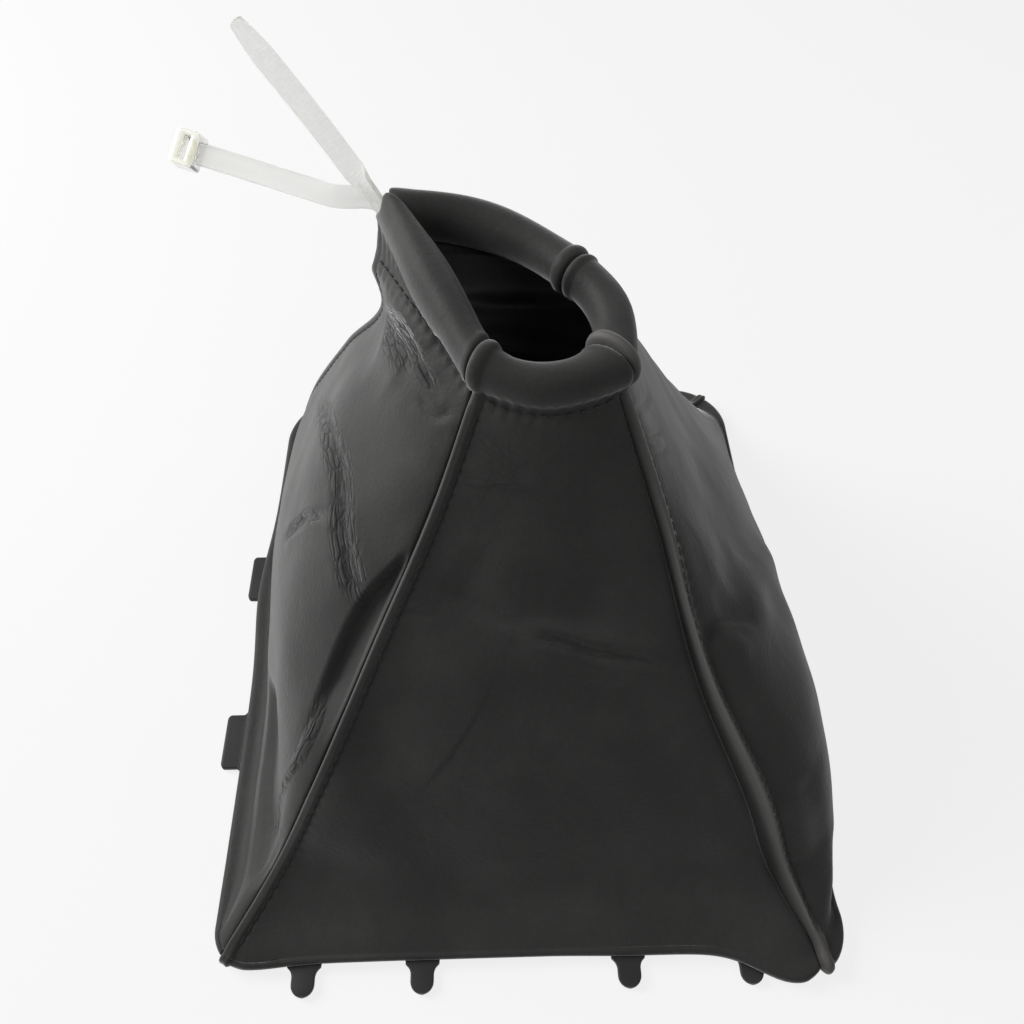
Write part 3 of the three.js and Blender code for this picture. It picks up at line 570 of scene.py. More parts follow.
# Folds drop by their depth within their width on the left of the line, and come back over a reach.
FOLDS = {
    0: [([(0.1, 0.675), (0.395, 0.62), (0.588, 0.615), (0.8, 0.59)], 4.5, 1.3, 12)],
    1: [([(-0.01, 0.55), (0.03, 0.565), (0.07, 0.545), (0.16, 0.46)], 2.5, 1.6, 4.5)],
    2: [],
    3: [([(0.985, 0.745), (0.963, 0.7), (0.945, 0.66), (0.93, 0.62), (0.92, 0.54), (0.92, 0.44),
          (0.93, 0.34)], 2.6, 3.2, 8),
        ([(0.66, 0.2), (0.74, 0.12), (0.82, 0.06), (0.9, 0.04), (0.96, 0.05)], 5.0, 2.3, 9)],
}


def line_distance(points, up, line):
    """Distance of every point from a broken line, positive on its left: least over its pieces of
    the distance to the nearest place on each, found by projecting on it and keeping the share
    between 0 and 1. Also the share and the distance run along the line up to that place."""
    best = np.full(points.shape[:-1], 1e9)
    side, place, run = np.zeros((3, *best.shape))
    reach = reach_along(line)
    for i, (a, b) in enumerate(zip(line[:-1], line[1:])):
        ab = b - a
        q = np.clip(((points - a) @ ab) / (ab @ ab), 0, 1)
        away = points - a - q[..., None] * ab
        d = np.linalg.norm(away, axis=-1)
        nearer = d < best
        best = np.where(nearer, d, best)
        side = np.where(nearer, np.sign((np.cross(up, ab) * away).sum(-1)), side)
        place = np.where(nearer, i + q, place)
        run = np.where(nearer, reach[i] + q * (reach[i + 1] - reach[i]), run)
    return best * side, place / (len(line) - 1), run


def drawn(side, shares):
    """Smooth line on the panel through points given as shares across and up."""
    u, t = np.array(shares).T
    knots, fine = np.linspace(0, 1, len(u)), np.linspace(0, 1, 5 * len(u))
    return wall_point(side, curve(knots, u, fine), curve(knots, t, fine))


def crease_height(side):
    """Sum of the creases: minus a bell along each line plus a wider bell, faded at its two ends.
    The strongest crackled crease at each point also leaves its strength there, and how far across
    and along it the point lies, which lays out the cracks."""
    points, up = grids[side], normals[side]
    height, crackle, across, along = np.zeros((4, *points.shape[:2]))
    for shares, width, depth, cracked in CREASES[side]:
        offset, place, run = line_distance(points, up, drawn(side, shares))
        fade = smooth(place, 0, 0.2) * (1 - smooth(place, 0.8, 1)) + ENDS
        height += depth * fade * (BESIDE * bell(offset, BESIDE_REACH * width) - bell(offset, width))
        strength = cracked * bell(offset, CRACKED * width) * (0.3 + 0.7 * fade)
        across = np.where(strength > crackle, offset, across)
        along = np.where(strength > crackle, run, along)
        crackle = np.maximum(crackle, strength)
    for shares, width, depth, back in FOLDS[side]:
        offset, place, _ = line_distance(points, up, drawn(side, shares))
        fade = smooth(place, 0, 0.15) * (1 - smooth(place, 0.75, 1))
        height -= depth * fade * smooth(offset, 0, width) * bell(np.maximum(offset - width, 0), back)
    return height, crackle, across, along


SWELL = [0.4, 0.25, 0.22, 0.3]


def swell(points, waves=26, shortest=14, longest=60):
    """Sum of waves in fixed random directions, weaker where shorter."""
    rng = np.random.default_rng(7)
    total = np.zeros(points.shape[:-1])
    for length in np.geomspace(shortest, longest, waves):
        direction = unit(rng.normal(size=3)) * 2 * np.pi / length
        total += np.sin(points @ direction + rng.uniform(0, 2 * np.pi)) * length / longest
    return total / np.sqrt(waves / 8)


print("creases", {k: len(v) for k, v in CREASES.items()})

# %% [markdown]
# A mesh is made from whole arrays: the outer and the inner face of a sheet are two grids joined
# round their rims, and a tube is one grid whose first and last columns meet. Both give closed
# bodies whose faces point outwards.

# %% Meshes from grids
def grid_quads(rows, columns, wrap=False):
    """Quads of a grid, anticlockwise as seen when columns run right and rows run up."""
    j, i = np.meshgrid(np.arange(rows - 1), np.arange(columns if wrap else columns - 1), indexing="ij")
    k = (i + 1) % columns
    low, high = j * columns, (j + 1) * columns
    return np.stack([low + i, low + k, high + k, high + i], -1).reshape(-1, 4)


def sheet_quads(rows, columns):
    """Quads of an outer grid, an inner grid turned round, and the strip round their rims."""
    outer = grid_quads(rows, columns)
    inner = outer[:, ::-1] + rows * columns
    index = np.arange(rows * columns).reshape(rows, columns)
    rim = np.concatenate([index[0], index[1:, -1], index[-1, -2::-1], index[-2:0:-1, 0]])
    after = np.roll(rim, -1)
    skip = rows * columns
    return np.concatenate([outer, inner, np.stack([after, rim, rim + skip, after + skip], -1)])


def make_piece(name, points, faces, stands_for, slot, uv=None, **attributes):
    """Puts points in millimetres and faces into a piece that rides on the body. Values given for
    the points become attributes, and uv, also one pair for each point, becomes its map."""
    mesh = bpy.data.meshes.new(name)
    mesh.from_pydata((points.reshape(-1, 3) * MM).tolist(), [], [list(face) for face in faces])
    mesh.update()
    mesh.shade_smooth()
    for key, values in attributes.items():
        layer = mesh.attributes.new(key, "FLOAT", "POINT")
        layer.data.foreach_set("value", np.asarray(values, np.float32).ravel())
    if uv is not None:
        corners = np.empty(len(mesh.loops), int)
        mesh.loops.foreach_get("vertex_index", corners)
        mesh.uv_layers.new(name="cut").data.foreach_set("uv", uv.reshape(-1, 2)[corners].ravel())
    piece = bpy.data.objects.new(name, mesh)
    bpy.context.scene.collection.objects.link(piece)
    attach(piece, "root")
    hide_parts(*stands_for)
    print(f"{name}: {len(points.reshape(-1, 3))} points, {len(faces)} faces")
    return piece


# %% [markdown]
# The four panels are now put together: middle surface, swell and creases along the shared
# normals, then the outer face with its relief and the inner face half a thickness below.

# %% Leather panels
NAMES = ["front", "right", "back", "left"]
panels, outer_faces = [], []
for side, name in enumerate(NAMES):
    creases, crackle, across, along = crease_height(side)
    near, far, row = near_seam[side], far_seam[side], np.arange(len(ROW_ANGLE))[:, None]
    # The swell fades towards the seams and the rail, and is half as strong on the tube.
    calm = smooth(near, 0, 9) * smooth(far, 0, 7) * smooth(row, FIRST_WALL - 2, FIRST_WALL + 14)
    calm = calm * (1 - 0.5 * smooth(ROW_ANGLE, -50, -20))[:, None]
    crackle = crackle * (1 - smooth(row, HEM_ROW - 3, HEM_ROW + 1))
    moved = SWELL[side] * swell(grids[side]) * calm + creases * smooth(near, 2.5, 5) * smooth(far, 0, 2)
    moved += seam_sink(side) * smooth(row, FIRST_WALL, FIRST_WALL + 12)
    middle = grids[side] + normals[side] * moved[..., None]
    outer = middle + normals[side] * (seam_height(side) + hem_height(side))[..., None]
    inner = middle - normals[side] * HALF
    outer_faces.append(outer)
    rows, columns = outer.shape[:2]
    run = reach_along(grids[side])
    uv = np.stack([near, run], -1) * MM
    # Lighter colour along the seam bands, a painted highlight and partly rubbed wear: the whole cord, and
    # the roll at the edge of a flat band.
    band_highlight = bell(near - 1.5, 1.2) if BANDS[side] == CORD_BAND else 0.45 * bell(near - 0.7, 0.4)
    masks = {"crackle": crackle, "crack_across": across, "crack_along": along, "band": band_highlight}
    panel = make_piece(f"{name}_leather", np.stack([outer, inner]), sheet_quads(rows, columns),
                       [f"{name}_panel"], "leather", uv=np.stack([uv, uv]),
                       **{key: np.stack([mask, mask]) for key, mask in masks.items()})
    panels.append(panel)
    steps, rises = (np.linalg.norm(np.diff(middle, axis=axis), axis=-1) for axis in (1, 0))
    area = float((steps[:-1] * rises[:, 1:]).sum())
    print(f"  widest {steps.sum(1).max():.1f}, narrowest {steps.sum(1).min():.1f}, "
          f"up the middle {run[-1, columns // 2]:.1f}, area {area:.0f}")

# %% [markdown]
# Each stitch is a short length of thread that comes out of one hole and dives into the next. A
# flattened ball drawn out along the seam is enough at this size, with few faces, because there are
# more than two hundred of them.

# %% Stitches
STITCH_SIZE = np.array([2.3, 0.62, 0.5])
STITCH_RINGS, STITCH_SPOKES = 5, 6


def ball(rings, spokes):
    """Unit ball drawn out along x: rings at even angles from pole to pole."""
    a = np.pi * (np.arange(rings) + 1) / (rings + 1)
    b = 2 * np.pi * np.arange(spokes) / spokes
    body = np.stack([-np.cos(a)[:, None] + 0 * b, np.sin(a)[:, None] * np.cos(b),
                     np.sin(a)[:, None] * np.sin(b)], -1).reshape(-1, 3)
    points = np.concatenate([body, [[-1, 0, 0], [1, 0, 0]]])
    faces = [f[::-1] for f in grid_quads(rings, spokes, wrap=True).tolist()]
    last = rings * spokes
    for i in range(spokes):
        k = (i + 1) % spokes
        faces.append([last, k, i][::-1])
        faces.append([last + 1, last - spokes + i, last - spokes + k][::-1])
    return points, faces


def stitches(line, up, pitch=STITCH_PITCH):
    """Balls at even steps along a line of surface points, each turned so that its length follows
    the line and its flat side the surface."""
    reach = reach_along(line)
    places = np.arange(pitch / 2, reach[-1], pitch)
    at = np.stack([np.interp(places, reach, line[:, k]) for k in range(3)], -1)
    rise = unit(np.stack([np.interp(places, reach, up[:, k]) for k in range(3)], -1))
    along = np.gradient(line, reach, axis=0)
    along = np.stack([np.interp(places, reach, along[:, k]) for k in range(3)], -1)
    along = unit(along - rise * (along * rise).sum(-1, keepdims=True))
    across = np.cross(rise, along)
    body, faces = ball(STITCH_RINGS, STITCH_SPOKES)
    body = body * STITCH_SIZE / 2
    points = (at[:, None] + body[:, 0, None] * along[:, None] + body[:, 1, None] * across[:, None]
              + body[:, 2, None] * rise[:, None])
    step = len(body)
    return points.reshape(-1, 3), [[v + n * step for v in face] for n in range(len(at)) for face in faces]


threads = []
for side, corner in enumerate(["front_left", "front_right", "back_right", "back_left"]):
    rows = slice(FIRST_WALL + 3, HEM_ROW - 3)
    line = outer_faces[side][rows, STITCH_COLUMN] + normals[side][rows, STITCH_COLUMN] * 0.1
    points, faces = stitches(line, normals[side][rows, STITCH_COLUMN])
    threads.append(make_piece(f"seam_stitches_{corner}", points, faces,
                              [f"seam_thread_{corner}"], "thread"))
hem_points, hem_faces, count = [], [], 0
for side in range(4):
    # None under the beads.
    columns = (near_seam[side][HEM_ROW] > BEAD_WIDTH) & (far_seam[side][HEM_ROW] > 1.0)
    row = outer_faces[side][HEM_ROW, columns] * 0.6 + outer_faces[side][HEM_ROW - 1, columns] * 0.4
    points, faces = stitches(row + normals[side][HEM_ROW, columns] * 0.02, normals[side][HEM_ROW, columns])
    hem_points.append(points)
    hem_faces += [[v + count for v in face] for face in faces]
    count += len(points)
threads.append(make_piece("hem_stitches", np.concatenate(hem_points), hem_faces, ["hem_thread"], "thread"))

# %% [markdown]
# The cable tie is a moulded nylon strap. It comes in at the back left corner, runs round inside
# the tube, comes out beside itself and carries a square head with a slot. The strap is one
# profile, a flat bar with thicker rims, carried along the same way that the solid's strap takes.

# %% Way of the cable tie
TIP, HEAD = spot(-0.392, 0.28, 1.311), spot(-0.49, 0.272, 1.058)
LANE, GAP = STRAP_THICKNESS / 2 + CLEARANCE + 0.1, 1.45 * STRAP_WIDTH
out3 = np.append(corner_out(3, 1), 0)
apart = np.array([out3[1], -out3[0], 0])


def beside(gap, reach, rise):
    """Place near the tube's back left corner: out along its halving line and to one side."""
    return TUBE[3] - apart * gap + out3 * reach + [0, 0, rise]


def in_tube(side, shares):
    return [tube_centre(side, np.array(u)) for u in shares]


share = np.linspace(0, 1, 13)
tail_way = curve([0, 0.48, 0.86, 1], [TIP, (TUBE[3] + TIP) / 2, beside(LANE, GAP, STRAP_WIDTH),
                                      beside(LANE, 0.4, 0.5)], share)
head_share = np.array([0.3, 0.4, 0.5, 0.75, 1])[:, None]
way = np.array([*tail_way, *in_tube(3, [0.113, 0.2, 0.4, 0.6, 0.8, 0.94]),
                *in_tube(0, [0.05, 0.25, 0.5, 0.75, 0.95]), *in_tube(1, [0.07, 0.35, 0.65, 0.93]),
                *in_tube(2, [0.05, 0.2, 0.35, 0.5, 0.65, 0.78, 0.87]), beside(-LANE, 1, 0),
                beside(-LANE, GAP, 0), *(TUBE[3] + (HEAD - TUBE[3]) * head_share)])
# The strap stands on edge in the tube and turns its broad side to the front outside it.
UPRIGHT = np.array([0, 0, -1.0])
TAIL_FACE, HEAD_FACE = -unit(np.array([0.79, 0.53, 0.4])), -unit(np.array([0, 0.78, 0.62]))
tail_turn, head_turn = smooth(share, 0.72, 0.88)[:, None], smooth(head_share, 0.15, 0.4)
inside = np.tile(UPRIGHT, (len(way) - len(share) - len(head_share), 1))
wide = unit(np.concatenate([TAIL_FACE + (UPRIGHT - TAIL_FACE) * tail_turn, inside,
                            UPRIGHT + (HEAD_FACE - UPRIGHT) * head_turn]))
print("tie is", round(reach_along(way)[-1]), "mm long")

# %% Strap
TOOTH_PITCH, TOOTH_DEPTH, TOOTHED = 1.0, 0.34, 64
# Half of the toothed face lies lower, between two rims. Shares of half the width and thickness.
PROFILE = np.array([[-1, -0.72], [-0.97, -0.93], [-0.9, -1], [-0.78, -1], [-0.72, -0.62],
                    [-0.4, -0.62], [-0.1, -0.62], [0.12, -0.62], [0.2, -1], [0.5, -1], [0.9, -1],
                    [0.97, -0.93], [1, -0.72], [1, 0.72], [0.97, 0.93], [0.9, 1], [0.6, 1], [0, 1],
                    [-0.6, 1], [-0.9, 1], [-0.97, 0.93], [-1, 0.72]])
knots = reach_along(way)
fine = np.concatenate([np.linspace(0, TOOTHED, 400), np.linspace(TOOTHED, knots[-1], 300)[1:]])
line = curve(knots, way, fine)
broad = curve(knots, wide, fine)
along = unit(np.gradient(line, axis=0))
broad = unit(broad - along * (along * broad).sum(-1, keepdims=True))
thick = np.cross(along, broad)
taper = 0.45 + 0.55 * np.sqrt(np.clip(fine / 9, 0, 1))
close = shoulder(np.minimum(fine, knots[-1] - fine), 0.5)
tooth = (fine / TOOTH_PITCH) % 1
toothed = smooth(fine, 6, 8) * (1 - smooth(fine, TOOTHED - 3, TOOTHED))
floor_face = (abs(PROFILE[:, 0]) < 0.73) & (PROFILE[:, 1] < 0)
a = PROFILE[:, 0] * (STRAP_WIDTH / 2) * (taper * close)[:, None]
b = PROFILE[:, 1] * (STRAP_THICKNESS / 2) * close[:, None]
b = b - np.where(floor_face, TOOTH_DEPTH * (1 - tooth[:, None]) * toothed[:, None], 0)
strap = line[:, None] + broad[:, None] * a[..., None] + thick[:, None] * b[..., None]
strap_faces = grid_quads(len(fine), len(PROFILE), wrap=True).tolist()
rim, last = len(PROFILE), (len(fine) - 1) * len(PROFILE)
ends = [list(range(rim))[::-1], list(range(last, last + rim))]
print("strap grid", strap.shape[:2])


# %% [markdown]
# A ring with a thick wall, such as the tie's head round its slot or the rails of the frame, is one
# rounded rectangle swept between an outer and an inner outline. Both outlines have the same number
# of points, so the ring is a single closed grid in two directions.

# %% Rings between two outlines
def rounded(half_x, half_y, radius, steps=9):
    """Rectangle with quarter arcs at its corners, anticlockwise from the back right one; one
    radius, or one for each corner."""
    radius = np.broadcast_to(radius, 4)[:, None]
    a = np.pi / 2 * (np.arange(4)[:, None] + np.linspace(0, 1, steps))
    sx, sy = np.array([1, -1, -1, 1])[:, None], np.array([1, 1, -1, -1])[:, None]
    x, y = sx * (half_x - radius) + radius * np.cos(a), sy * (half_y - radius) + radius * np.sin(a)
    return np.stack([x, y], -1).reshape(-1, 2)


def ring(outer, inner, low, high, fillet):
    """Section from the outer outline (share 0) to the inner one (share 1) and from low to high,
    with each corner of the section rounded by a quarter arc of the fillet's radius."""
    wall = np.linalg.norm(inner - outer, axis=-1)[:, None]
    a = np.linspace(0, np.pi / 2, 4)
    c, s = fillet * (1 - np.cos(a)), fillet * (1 - np.sin(a))
    out, back = np.tile(c, (len(wall), 1)), np.tile(c[::-1], (len(wall), 1))
    share = np.concatenate([out, wall - back, wall - out, back], 1)
    z = np.concatenate([high - s, high - s[::-1], low + s, low + s[::-1]])
    xy = outer[:, None] + (inner - outer)[:, None] * (share / wall)[..., None]
    points = np.concatenate([xy, np.broadcast_to(z[:, None], xy.shape[:2] + (1,))], -1)
    count = len(z)
    quads = grid_quads(len(outer) + 1, count, wrap=True) % (len(outer) * count)
    return points, quads


HEAD_FILLET = 0.5
end_along, end_broad = along[-1], broad[-1]
middle = HEAD + end_along * HEAD_SIZE[0] / 3
slot = rounded(0.9, (STRAP_WIDTH + 0.4) / 2, 0.3)
points, quads = ring(rounded(HEAD_SIZE[0] / 2, HEAD_SIZE[2] / 2, 1), slot,
                     -HEAD_SIZE[1] / 2, HEAD_SIZE[1] / 2, HEAD_FILLET)
axes = np.stack([end_along, -end_broad, np.cross(-end_broad, end_along)])
head = points.reshape(-1, 3) @ axes + middle
head_faces = (quads[:, ::-1] + strap.size // 3).tolist()
tie = make_piece("nylon_tie", np.concatenate([strap.reshape(-1, 3), head]), strap_faces + ends + head_faces,
                 ["cable_tie"], "tie", solid=np.repeat([0, 1], [strap.size // 3, len(head)]))

# %% [markdown]
# The frame is moulded plastic: flat rails all round, with clip tongues in front and behind and
# broad tabs at the sides that snap under the console's edge. The rails are a ring as above. Each
# clip is a flat bar whose half width changes along its length, with rounded edges all round.

# %% Moulded frame
FRAME_FILLET, CLIP_FILLET = 0.45, 0.4
TONGUES_AT = np.array([-0.354, -0.167, 0.16, 0.354]) * WIDTH
TABS_AT = np.array([-0.192, 0.094]) * LENGTH
inset = LEATHER + CLEARANCE + 0.4
outer_radii = np.roll(CORNER_RADII, -2) - inset
rails, rail_quads = ring(rounded(HALF_X - inset, HALF_Y - inset, outer_radii),
                         rounded(HALF_X - inset - RAIL_WIDTH, HALF_Y - inset - RAIL_WIDTH,
                                 np.maximum(outer_radii - RAIL_WIDTH, 4)), 0, FRAME_THICKNESS, FRAME_FILLET)


def clip(stations, half_widths, thickness, fillet):
    """Bar along +x: at each station a section as wide as given and as thick as the clip, its
    corners quarter arcs; the last station is drawn in to nothing, which closes the tip."""
    a = np.linspace(0, np.pi / 2, 5)
    half = np.asarray(half_widths)[:, None]
    f = np.minimum(fillet, half)
    s, c, flat = np.sin(a), np.cos(a), half - f
    ring_y = np.concatenate([-flat - f * s[::-1], flat + f * s, flat + f * c, -flat - f * c[::-1]], 1)
    ring_z = np.concatenate([f - f * c[::-1], f - f * c, thickness - f + f * s,
                             thickness - f + f * s[::-1]], 1)
    x = np.broadcast_to(np.asarray(stations)[:, None], ring_y.shape)
    return np.stack([x, ring_y, ring_z], -1)


def round_tip(tip, radius, steps=7):
    """Stations and half widths of a straight bar with a round end."""
    a = np.linspace(0, np.pi / 2, steps)
    return tip - radius + radius * np.sin(a), radius * np.cos(a) + 1e-3


# Foot of a tongue: distances from the leather's edge, and widths as shares of the tongue's.
FOOT = np.array([[-3.5, 1.6], [-1, 1.5], [0.2, 1.45], [0.7, 1.26], [1.2, 1.12], [1.8, 1.04], [2.4, 1]])
# A tab: distances from the leather's edge, and what its half width gains or loses there.
TAB_SHAPE = np.array([[-3.5, 0.8], [0.3, 0.8], [0.6, 0.5], [0.9, 0.15], [1.2, 0], [TAB_REACH - 0.9, 0],
                      [TAB_REACH - 0.45, -0.25], [TAB_REACH - 0.15, -0.65], [TAB_REACH, -1.1]])
tip_x, tip_w = round_tip(HALF_Y + TONGUE_REACH, TONGUE_WIDTH / 2)
tongue = clip(np.concatenate([HALF_Y + FOOT[:, 0], tip_x]),
              np.concatenate([FOOT[:, 1] * TONGUE_WIDTH / 2, tip_w]), CLIP_THICKNESS, CLIP_FILLET)
tab = clip(HALF_X + TAB_SHAPE[:, 0], TAB_WIDTH / 2 + TAB_SHAPE[:, 1], CLIP_THICKNESS, CLIP_FILLET)
bodies, faces = [rails.reshape(-1, 3)], rail_quads[:, ::-1].tolist()
count = len(bodies[0])
for shape, turn, places in ((tongue, -90, TONGUES_AT), (tongue, 90, TONGUES_AT),
                            (tab, 180, TABS_AT), (tab, 0, TABS_AT)):
    c, s = np.cos(np.radians(turn)), np.sin(np.radians(turn))
    for place in places:
        x, y, z = shape.reshape(-1, 3).T
        shift = [place, 0] if turn in (-90, 90) else [0, place]
        bodies.append(np.stack([x * c - y * s + shift[0], x * s + y * c + shift[1], z], -1))
        n, m = shape.shape[:2]
        faces += (grid_quads(n, m, wrap=True)[:, ::-1] + count).tolist()
        faces += [[count + i for i in range(m)], [count + (n - 1) * m + i for i in range(m)][::-1]]
        count += n * m
frame_piece = make_piece("moulded_frame", np.concatenate(bodies), faces, ["base_frame"], "frame")

# %% [markdown]
# Shader maths is written as ordinary expressions. A wrapper round a socket turns + - * and the
# rest into Math nodes, also when a plain number stands first, and one method adds any other node.

# %% Finishes as expressions
class Value:
    """An output of a shader node that can be calculated with."""

    def __init__(self, recipe, socket):
        self.recipe, self.socket = recipe, socket

    def maths(self, operation, *values):
        return self.recipe.add("ShaderNodeMath", {"operation": operation}, dict(enumerate(values)))

    def __add__(self, other): return self.maths("ADD", self, other)
    def __radd__(self, other): return self.maths("ADD", other, self)
    def __sub__(self, other): return self.maths("SUBTRACT", self, other)
    def __rsub__(self, other): return self.maths("SUBTRACT", other, self)
    def __mul__(self, other): return self.maths("MULTIPLY", self, other)
    def __rmul__(self, other): return self.maths("MULTIPLY", other, self)
    def __truediv__(self, other): return self.maths("DIVIDE", self, other)
    def __pow__(self, other): return self.maths("POWER", self, other)

    def between(self, low, high):
        """Smooth step of the value, 0 at low and 1 at high."""
        return self.recipe.add("ShaderNodeMapRange", {"interpolation_type": "SMOOTHSTEP"},
                               {"Value": self, "From Min": low, "From Max": high})


class Recipe:
    """A material and its nodes. add() makes any node: settings first, then values or links."""

    def __init__(self, name):
        self.material = bpy.data.materials.new(name)
        self.material.use_nodes = True
        self.tree = self.material.node_tree
        self.tree.nodes.clear()

    def add(self, kind, settings=(), values=(), out=0):
        node = self.tree.nodes.new(kind)
        for key, value in dict(settings).items():
            setattr(node, key, value)
        for key, value in dict(values).items():
            if isinstance(value, Value):
                self.tree.links.new(value.socket, node.inputs[key])
            else:
                node.inputs[key].default_value = value
        return Value(self, node.outputs[out]) if len(node.outputs) else None

    def noise(self, at, scale, detail=3.0, roughness=0.5):
        return self.add("ShaderNodeTexNoise", values={"Vector": at, "Scale": scale, "Detail": detail,
                                                      "Roughness": roughness})

    def cells(self, at, scale, feature="F1", randomness=1.0):
        return self.add("ShaderNodeTexVoronoi", {"feature": feature},
                        {"Vector": at, "Scale": scale, "Randomness": randomness})

    def mix(self, share, first, second):
        """Colour between two colours."""
        node = self.tree.nodes.new("ShaderNodeMix")
        node.data_type = "RGBA"
        for socket, value in ((node.inputs[0], share), (node.inputs[6], first), (node.inputs[7], second)):
            if isinstance(value, Value):
                self.tree.links.new(value.socket, socket)
            else:
                socket.default_value = value
        return Value(self, node.outputs[2])

    def attribute(self, name):
        return self.add("ShaderNodeAttribute", {"attribute_name": name}, out="Fac")

    def bump(self, height, distance, strength=1.0):
        return self.add("ShaderNodeBump",
                        values={"Height": height, "Distance": distance, "Strength": strength})

    def finish(self, **values):
        """The surface shader, with its sockets' names written with underscores for spaces."""
        sockets = {key.replace("_", " "): value for key, value in values.items()}
        shader = self.add("ShaderNodeBsdfPrincipled", values=sockets)
        self.add("ShaderNodeOutputMaterial", values={"Surface": shader})
        return self.material


def grey(value, warmth=0.0):
    """Colour of that brightness, warmer towards red above zero."""
    return (value * (1 + warmth), value, value * (1 - warmth), 1)


print("finishes ready")

# %% [markdown]
# The leather is black with a fine pebbled grain, soft and half matt. Broad noise varies how dark
# and how rough it is, cells give the grain, and along the creases a net of fine cracks opens
# where the attribute from the shapes is strong; the cracks are coloured near black, painted shade.
# The raised seam bands are lighter and smoother: a painted highlight, partly rubbed wear.

# %% Leather
STRETCH = 0.22  # cracks run along a crease, so their cells are drawn out that way
CRACK_SCALE, DRIFT_SCALE, DRIFT = 760, 330.0, 0.0009
hide = Recipe("leather")
at = hide.add("ShaderNodeTexCoord", out="Object")
cloud = hide.noise(at, 45, 4, 0.6)
grain = hide.cells(at, 1250, "SMOOTH_F1")
pores = hide.noise(at, 2600, 2)
place = hide.add("ShaderNodeCombineXYZ", values={0: hide.attribute("crack_across") * MM,
                                                 1: hide.attribute("crack_along") * (MM * STRETCH)})
drift = hide.add("ShaderNodeVectorMath", {"operation": "SCALE"},
                 {0: hide.add("ShaderNodeTexNoise", values={"Vector": at, "Scale": DRIFT_SCALE},
                              out="Color"), "Scale": DRIFT})
laid_out = hide.add("ShaderNodeVectorMath", {"operation": "ADD"}, {0: place, 1: drift})
net = 1 - hide.cells(laid_out, CRACK_SCALE, "DISTANCE_TO_EDGE").between(0.0, 0.3)
crackle_mask = hide.attribute("crackle").between(0.15, 0.7)
band_highlight_mask = hide.attribute("band")
wrinkle = hide.noise(at, 190, 3, 0.55)
fold = hide.noise(at, 60, 2, 0.5)
height = grain * 0.45 + pores * 0.2 + wrinkle * 0.9 + fold * 2.5 - net * crackle_mask * 2.4
skin = hide.mix(cloud.between(0.35, 0.7) * 0.6 + grain * 0.3, grey(0.032, 0.02), grey(0.056, 0.03))
# Painted highlight: the seam bands are mixed towards a light grey.
band_highlight = hide.mix(band_highlight_mask * 0.7, skin, grey(0.17, 0.03))
# Painted shade: the base colour goes near black in the crack net along the creases.
leather = hide.finish(
    Base_Color=hide.mix(net * crackle_mask * 0.65, band_highlight, grey(0.008)),
    Roughness=0.48 + cloud.between(0.3, 0.75) * 0.12 + crackle_mask * 0.05 - band_highlight_mask * 0.06,
    Normal=hide.bump(height, 0.00016, 0.75), IOR=1.5, Specular_IOR_Level=0.1,
    Sheen_Weight=0.65, Sheen_Roughness=0.4)
for panel in panels:
    panel.data.materials.append(leather)

# %% [markdown]
# Sewing thread is twisted from fine yarns and a shade duller than the leather round it. The frame
# is black moulded plastic with an even spark-eroded grain. The tie is natural nylon, milky and a
# little see-through, slightly yellow where it is thick.

# %% Thread, plastic and nylon
yarn = Recipe("sewing_thread")
at = yarn.add("ShaderNodeTexCoord", out="Object")
twist = yarn.add("ShaderNodeTexWave", {"wave_type": "BANDS", "bands_direction": "DIAGONAL"},
                 {"Vector": at, "Scale": 700.0, "Distortion": 0.6, "Detail": 1.0}, out="Fac")
thread = yarn.finish(Base_Color=yarn.mix(twist, grey(0.005), grey(0.01)), Roughness=0.8,
                     Normal=yarn.bump(twist, 0.00008, 0.8))
for piece in threads:
    piece.data.materials.append(thread)

mould = Recipe("moulded_plastic")
at = mould.add("ShaderNodeTexCoord", out="Object")
spark = mould.noise(at, 1900, 3, 0.6)
smear = mould.noise(at, 60, 3)
plastic = mould.finish(Base_Color=mould.mix(smear.between(0.3, 0.7), grey(0.014), grey(0.022)),
                       Roughness=0.42 + spark * 0.14, Normal=mould.bump(spark, 0.00008, 0.6), IOR=1.49,
                       Specular_IOR_Level=0.25)
frame_piece.data.materials.append(plastic)

nylon = Recipe("natural_nylon")
at = nylon.add("ShaderNodeTexCoord", out="Object")
milk = nylon.noise(at, 70, 3)
flow = nylon.noise(at, 900, 2)
solid = nylon.attribute("solid")
STRAP_COLOUR, HEAD_COLOUR = (0.9, 0.9, 0.89, 1), (0.88, 0.88, 0.78, 1)
milky = nylon.finish(Base_Color=nylon.mix(solid * 0.8 + milk * 0.2, STRAP_COLOUR, HEAD_COLOUR),
                     Roughness=0.3 + flow * 0.12, Normal=nylon.bump(flow, 0.00005, 0.5),
                     Transmission_Weight=0.85, IOR=1.3)
tie.data.materials.append(milky)
print("materials:", [m.name for m in (leather, thread, plastic, milky)])

# %% [markdown]
# The size of each sheet's cut before sewing, in metres: width, length and area. The loop below
# only reads them for each panel.

# %% Sheets
CUTS = {"front": (0.150, 0.165, 0.0150), "right": (0.200, 0.165, 0.0190), "back": (0.155, 0.165, 0.0150),
        "left": (0.195, 0.170, 0.0190)}
for name, panel in zip(NAMES, panels):
    width, length, area = CUTS[name]

# %% [markdown]
# A pale floor and soft lamps at a plain level: one large lamp from the left and behind, as in the
# photograph, two weak ones from the right and the front, and a dim, even sky. Floor and sky are
# white, by Light Path, only for rays that show the background, and the gaiter's soft shadow stays.

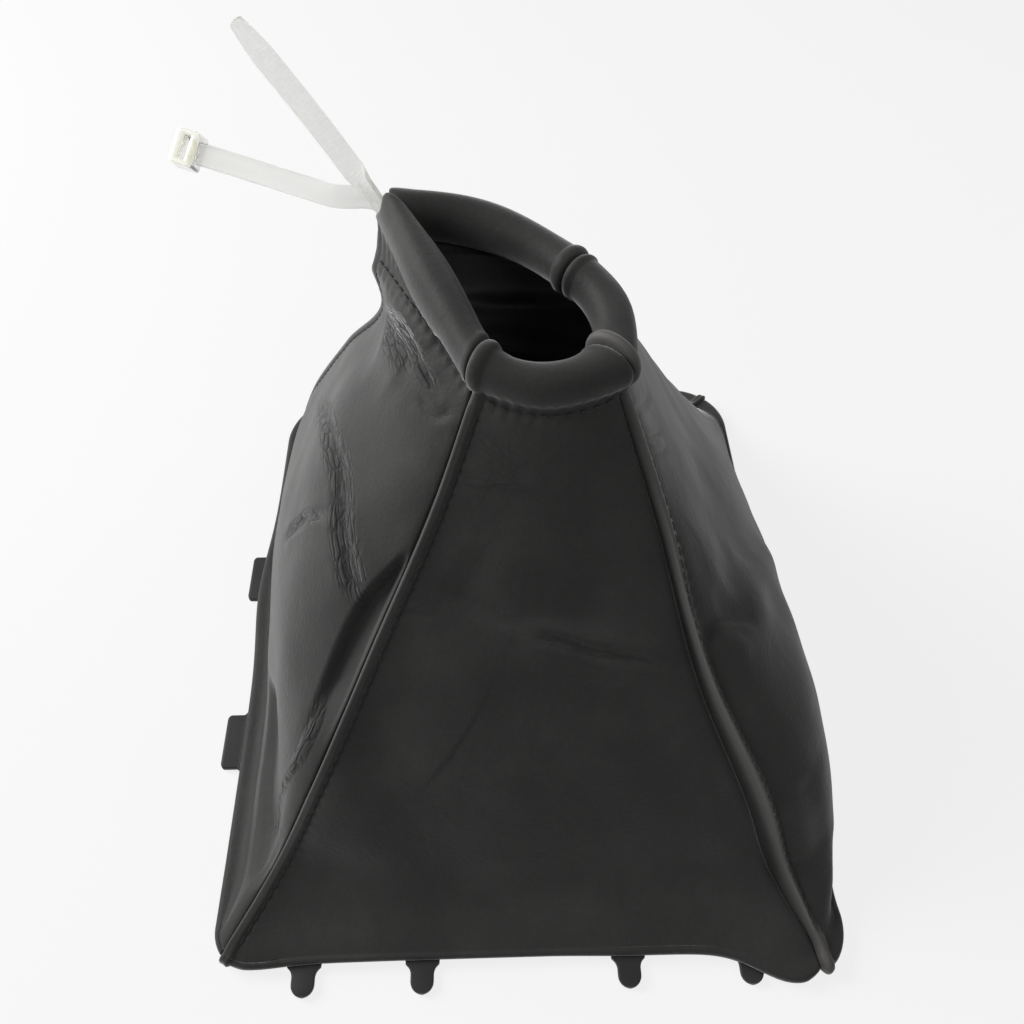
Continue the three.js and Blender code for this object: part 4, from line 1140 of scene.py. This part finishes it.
# %% Floor, lamps and sky
floor_mesh = bpy.data.meshes.new("floor")
FLOOR_HALF, FLOOR_Z, FLOOR_WHITE = 3.0, -0.0004, 0.82
floor_corners = [(x * FLOOR_HALF, y * FLOOR_HALF, FLOOR_Z) for x, y in ((-1, -1), (1, -1), (1, 1), (-1, 1))]
floor_mesh.from_pydata(floor_corners, [], [(0, 1, 2, 3)])
floor = bpy.data.objects.new("floor", floor_mesh)
bpy.context.scene.collection.objects.link(floor)
floor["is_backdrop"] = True


def seen(recipe):
    """1 for rays that show the background: straight from the camera, mirrored or through glass."""
    kinds = ("Is Camera Ray", "Is Glossy Ray", "Is Transmission Ray")
    straight, mirrored, through = (recipe.add("ShaderNodeLightPath", out=kind) for kind in kinds)
    total = straight + mirrored + through
    return total.maths("MINIMUM", total, 1.0)


ground = Recipe("pale_floor")
matt = ground.add("ShaderNodeBsdfDiffuse", values={"Color": (0.8, 0.8, 0.8, 1)})
white = ground.add("ShaderNodeEmission", values={"Color": (1, 1, 1, 1), "Strength": 1.0})
at = ground.add("ShaderNodeTexCoord", out="Object")
aside, ahead = (ground.add("ShaderNodeSeparateXYZ", values={0: at}, out=axis) for axis in "XY")
aside, ahead = (value.maths("ABSOLUTE", value) for value in (aside, ahead))
# Under the gaiter the floor gives no light, so that the inside of the sleeve stays dark.
open_floor = 1 - (1 - aside.between(0.06, 0.075)) * (1 - ahead.between(0.08, 0.095))
mixed = ground.add("ShaderNodeMixShader",
                   values={0: seen(ground) * open_floor * FLOOR_WHITE, 1: matt, 2: white})
ground.add("ShaderNodeOutputMaterial", values={"Surface": mixed})
floor_mesh.materials.append(ground.material)


def lamp(name, place, size, power):
    """Square lamp at the place, in metres, facing the middle of the gaiter."""
    light = bpy.data.lights.new(name, "AREA")
    light.size, light.energy = size, power
    piece = bpy.data.objects.new(name, light)
    bpy.context.scene.collection.objects.link(piece)
    place = Vector(place)
    aim = Vector((0, 0, 0.06)) - place
    piece.matrix_world = Matrix.Translation(place) @ aim.to_track_quat("-Z", "Y").to_matrix().to_4x4()
    return piece


lamp("key", (-0.7, 0.22, 0.5), 0.5, 8.0)
lamp("side", (0.6, 0.3, 0.6), 0.5, 0.6)
lamp("front", (0.25, -0.5, 0.8), 0.4, 0.9)
SKY_LIGHT, SKY_SEEN = 0.07, 1.0
world = bpy.data.worlds.new("sky")
bpy.context.scene.world = world
world.use_nodes = True
sky = Recipe.__new__(Recipe)
sky.tree = world.node_tree
sky.tree.nodes.clear()
dim, bright = (sky.add("ShaderNodeBackground", values={"Color": (1, 1, 1, 1), "Strength": strength})
               for strength in (SKY_LIGHT, SKY_SEEN))
sky.add("ShaderNodeOutputWorld",
        values={"Surface": sky.add("ShaderNodeMixShader", values={0: seen(sky), 1: dim, 2: bright})})
bpy.context.scene.view_settings.view_transform = "Standard"

# %% [markdown]
# Last, the box of the finished model is written beside the box of the solids, to compare them.

# %% Size and finish
new_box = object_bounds()
for name, box in (("solids", cad_box), ("model", new_box)):
    print(name, [tuple(round(value, 4) for value in corner) for corner in box])
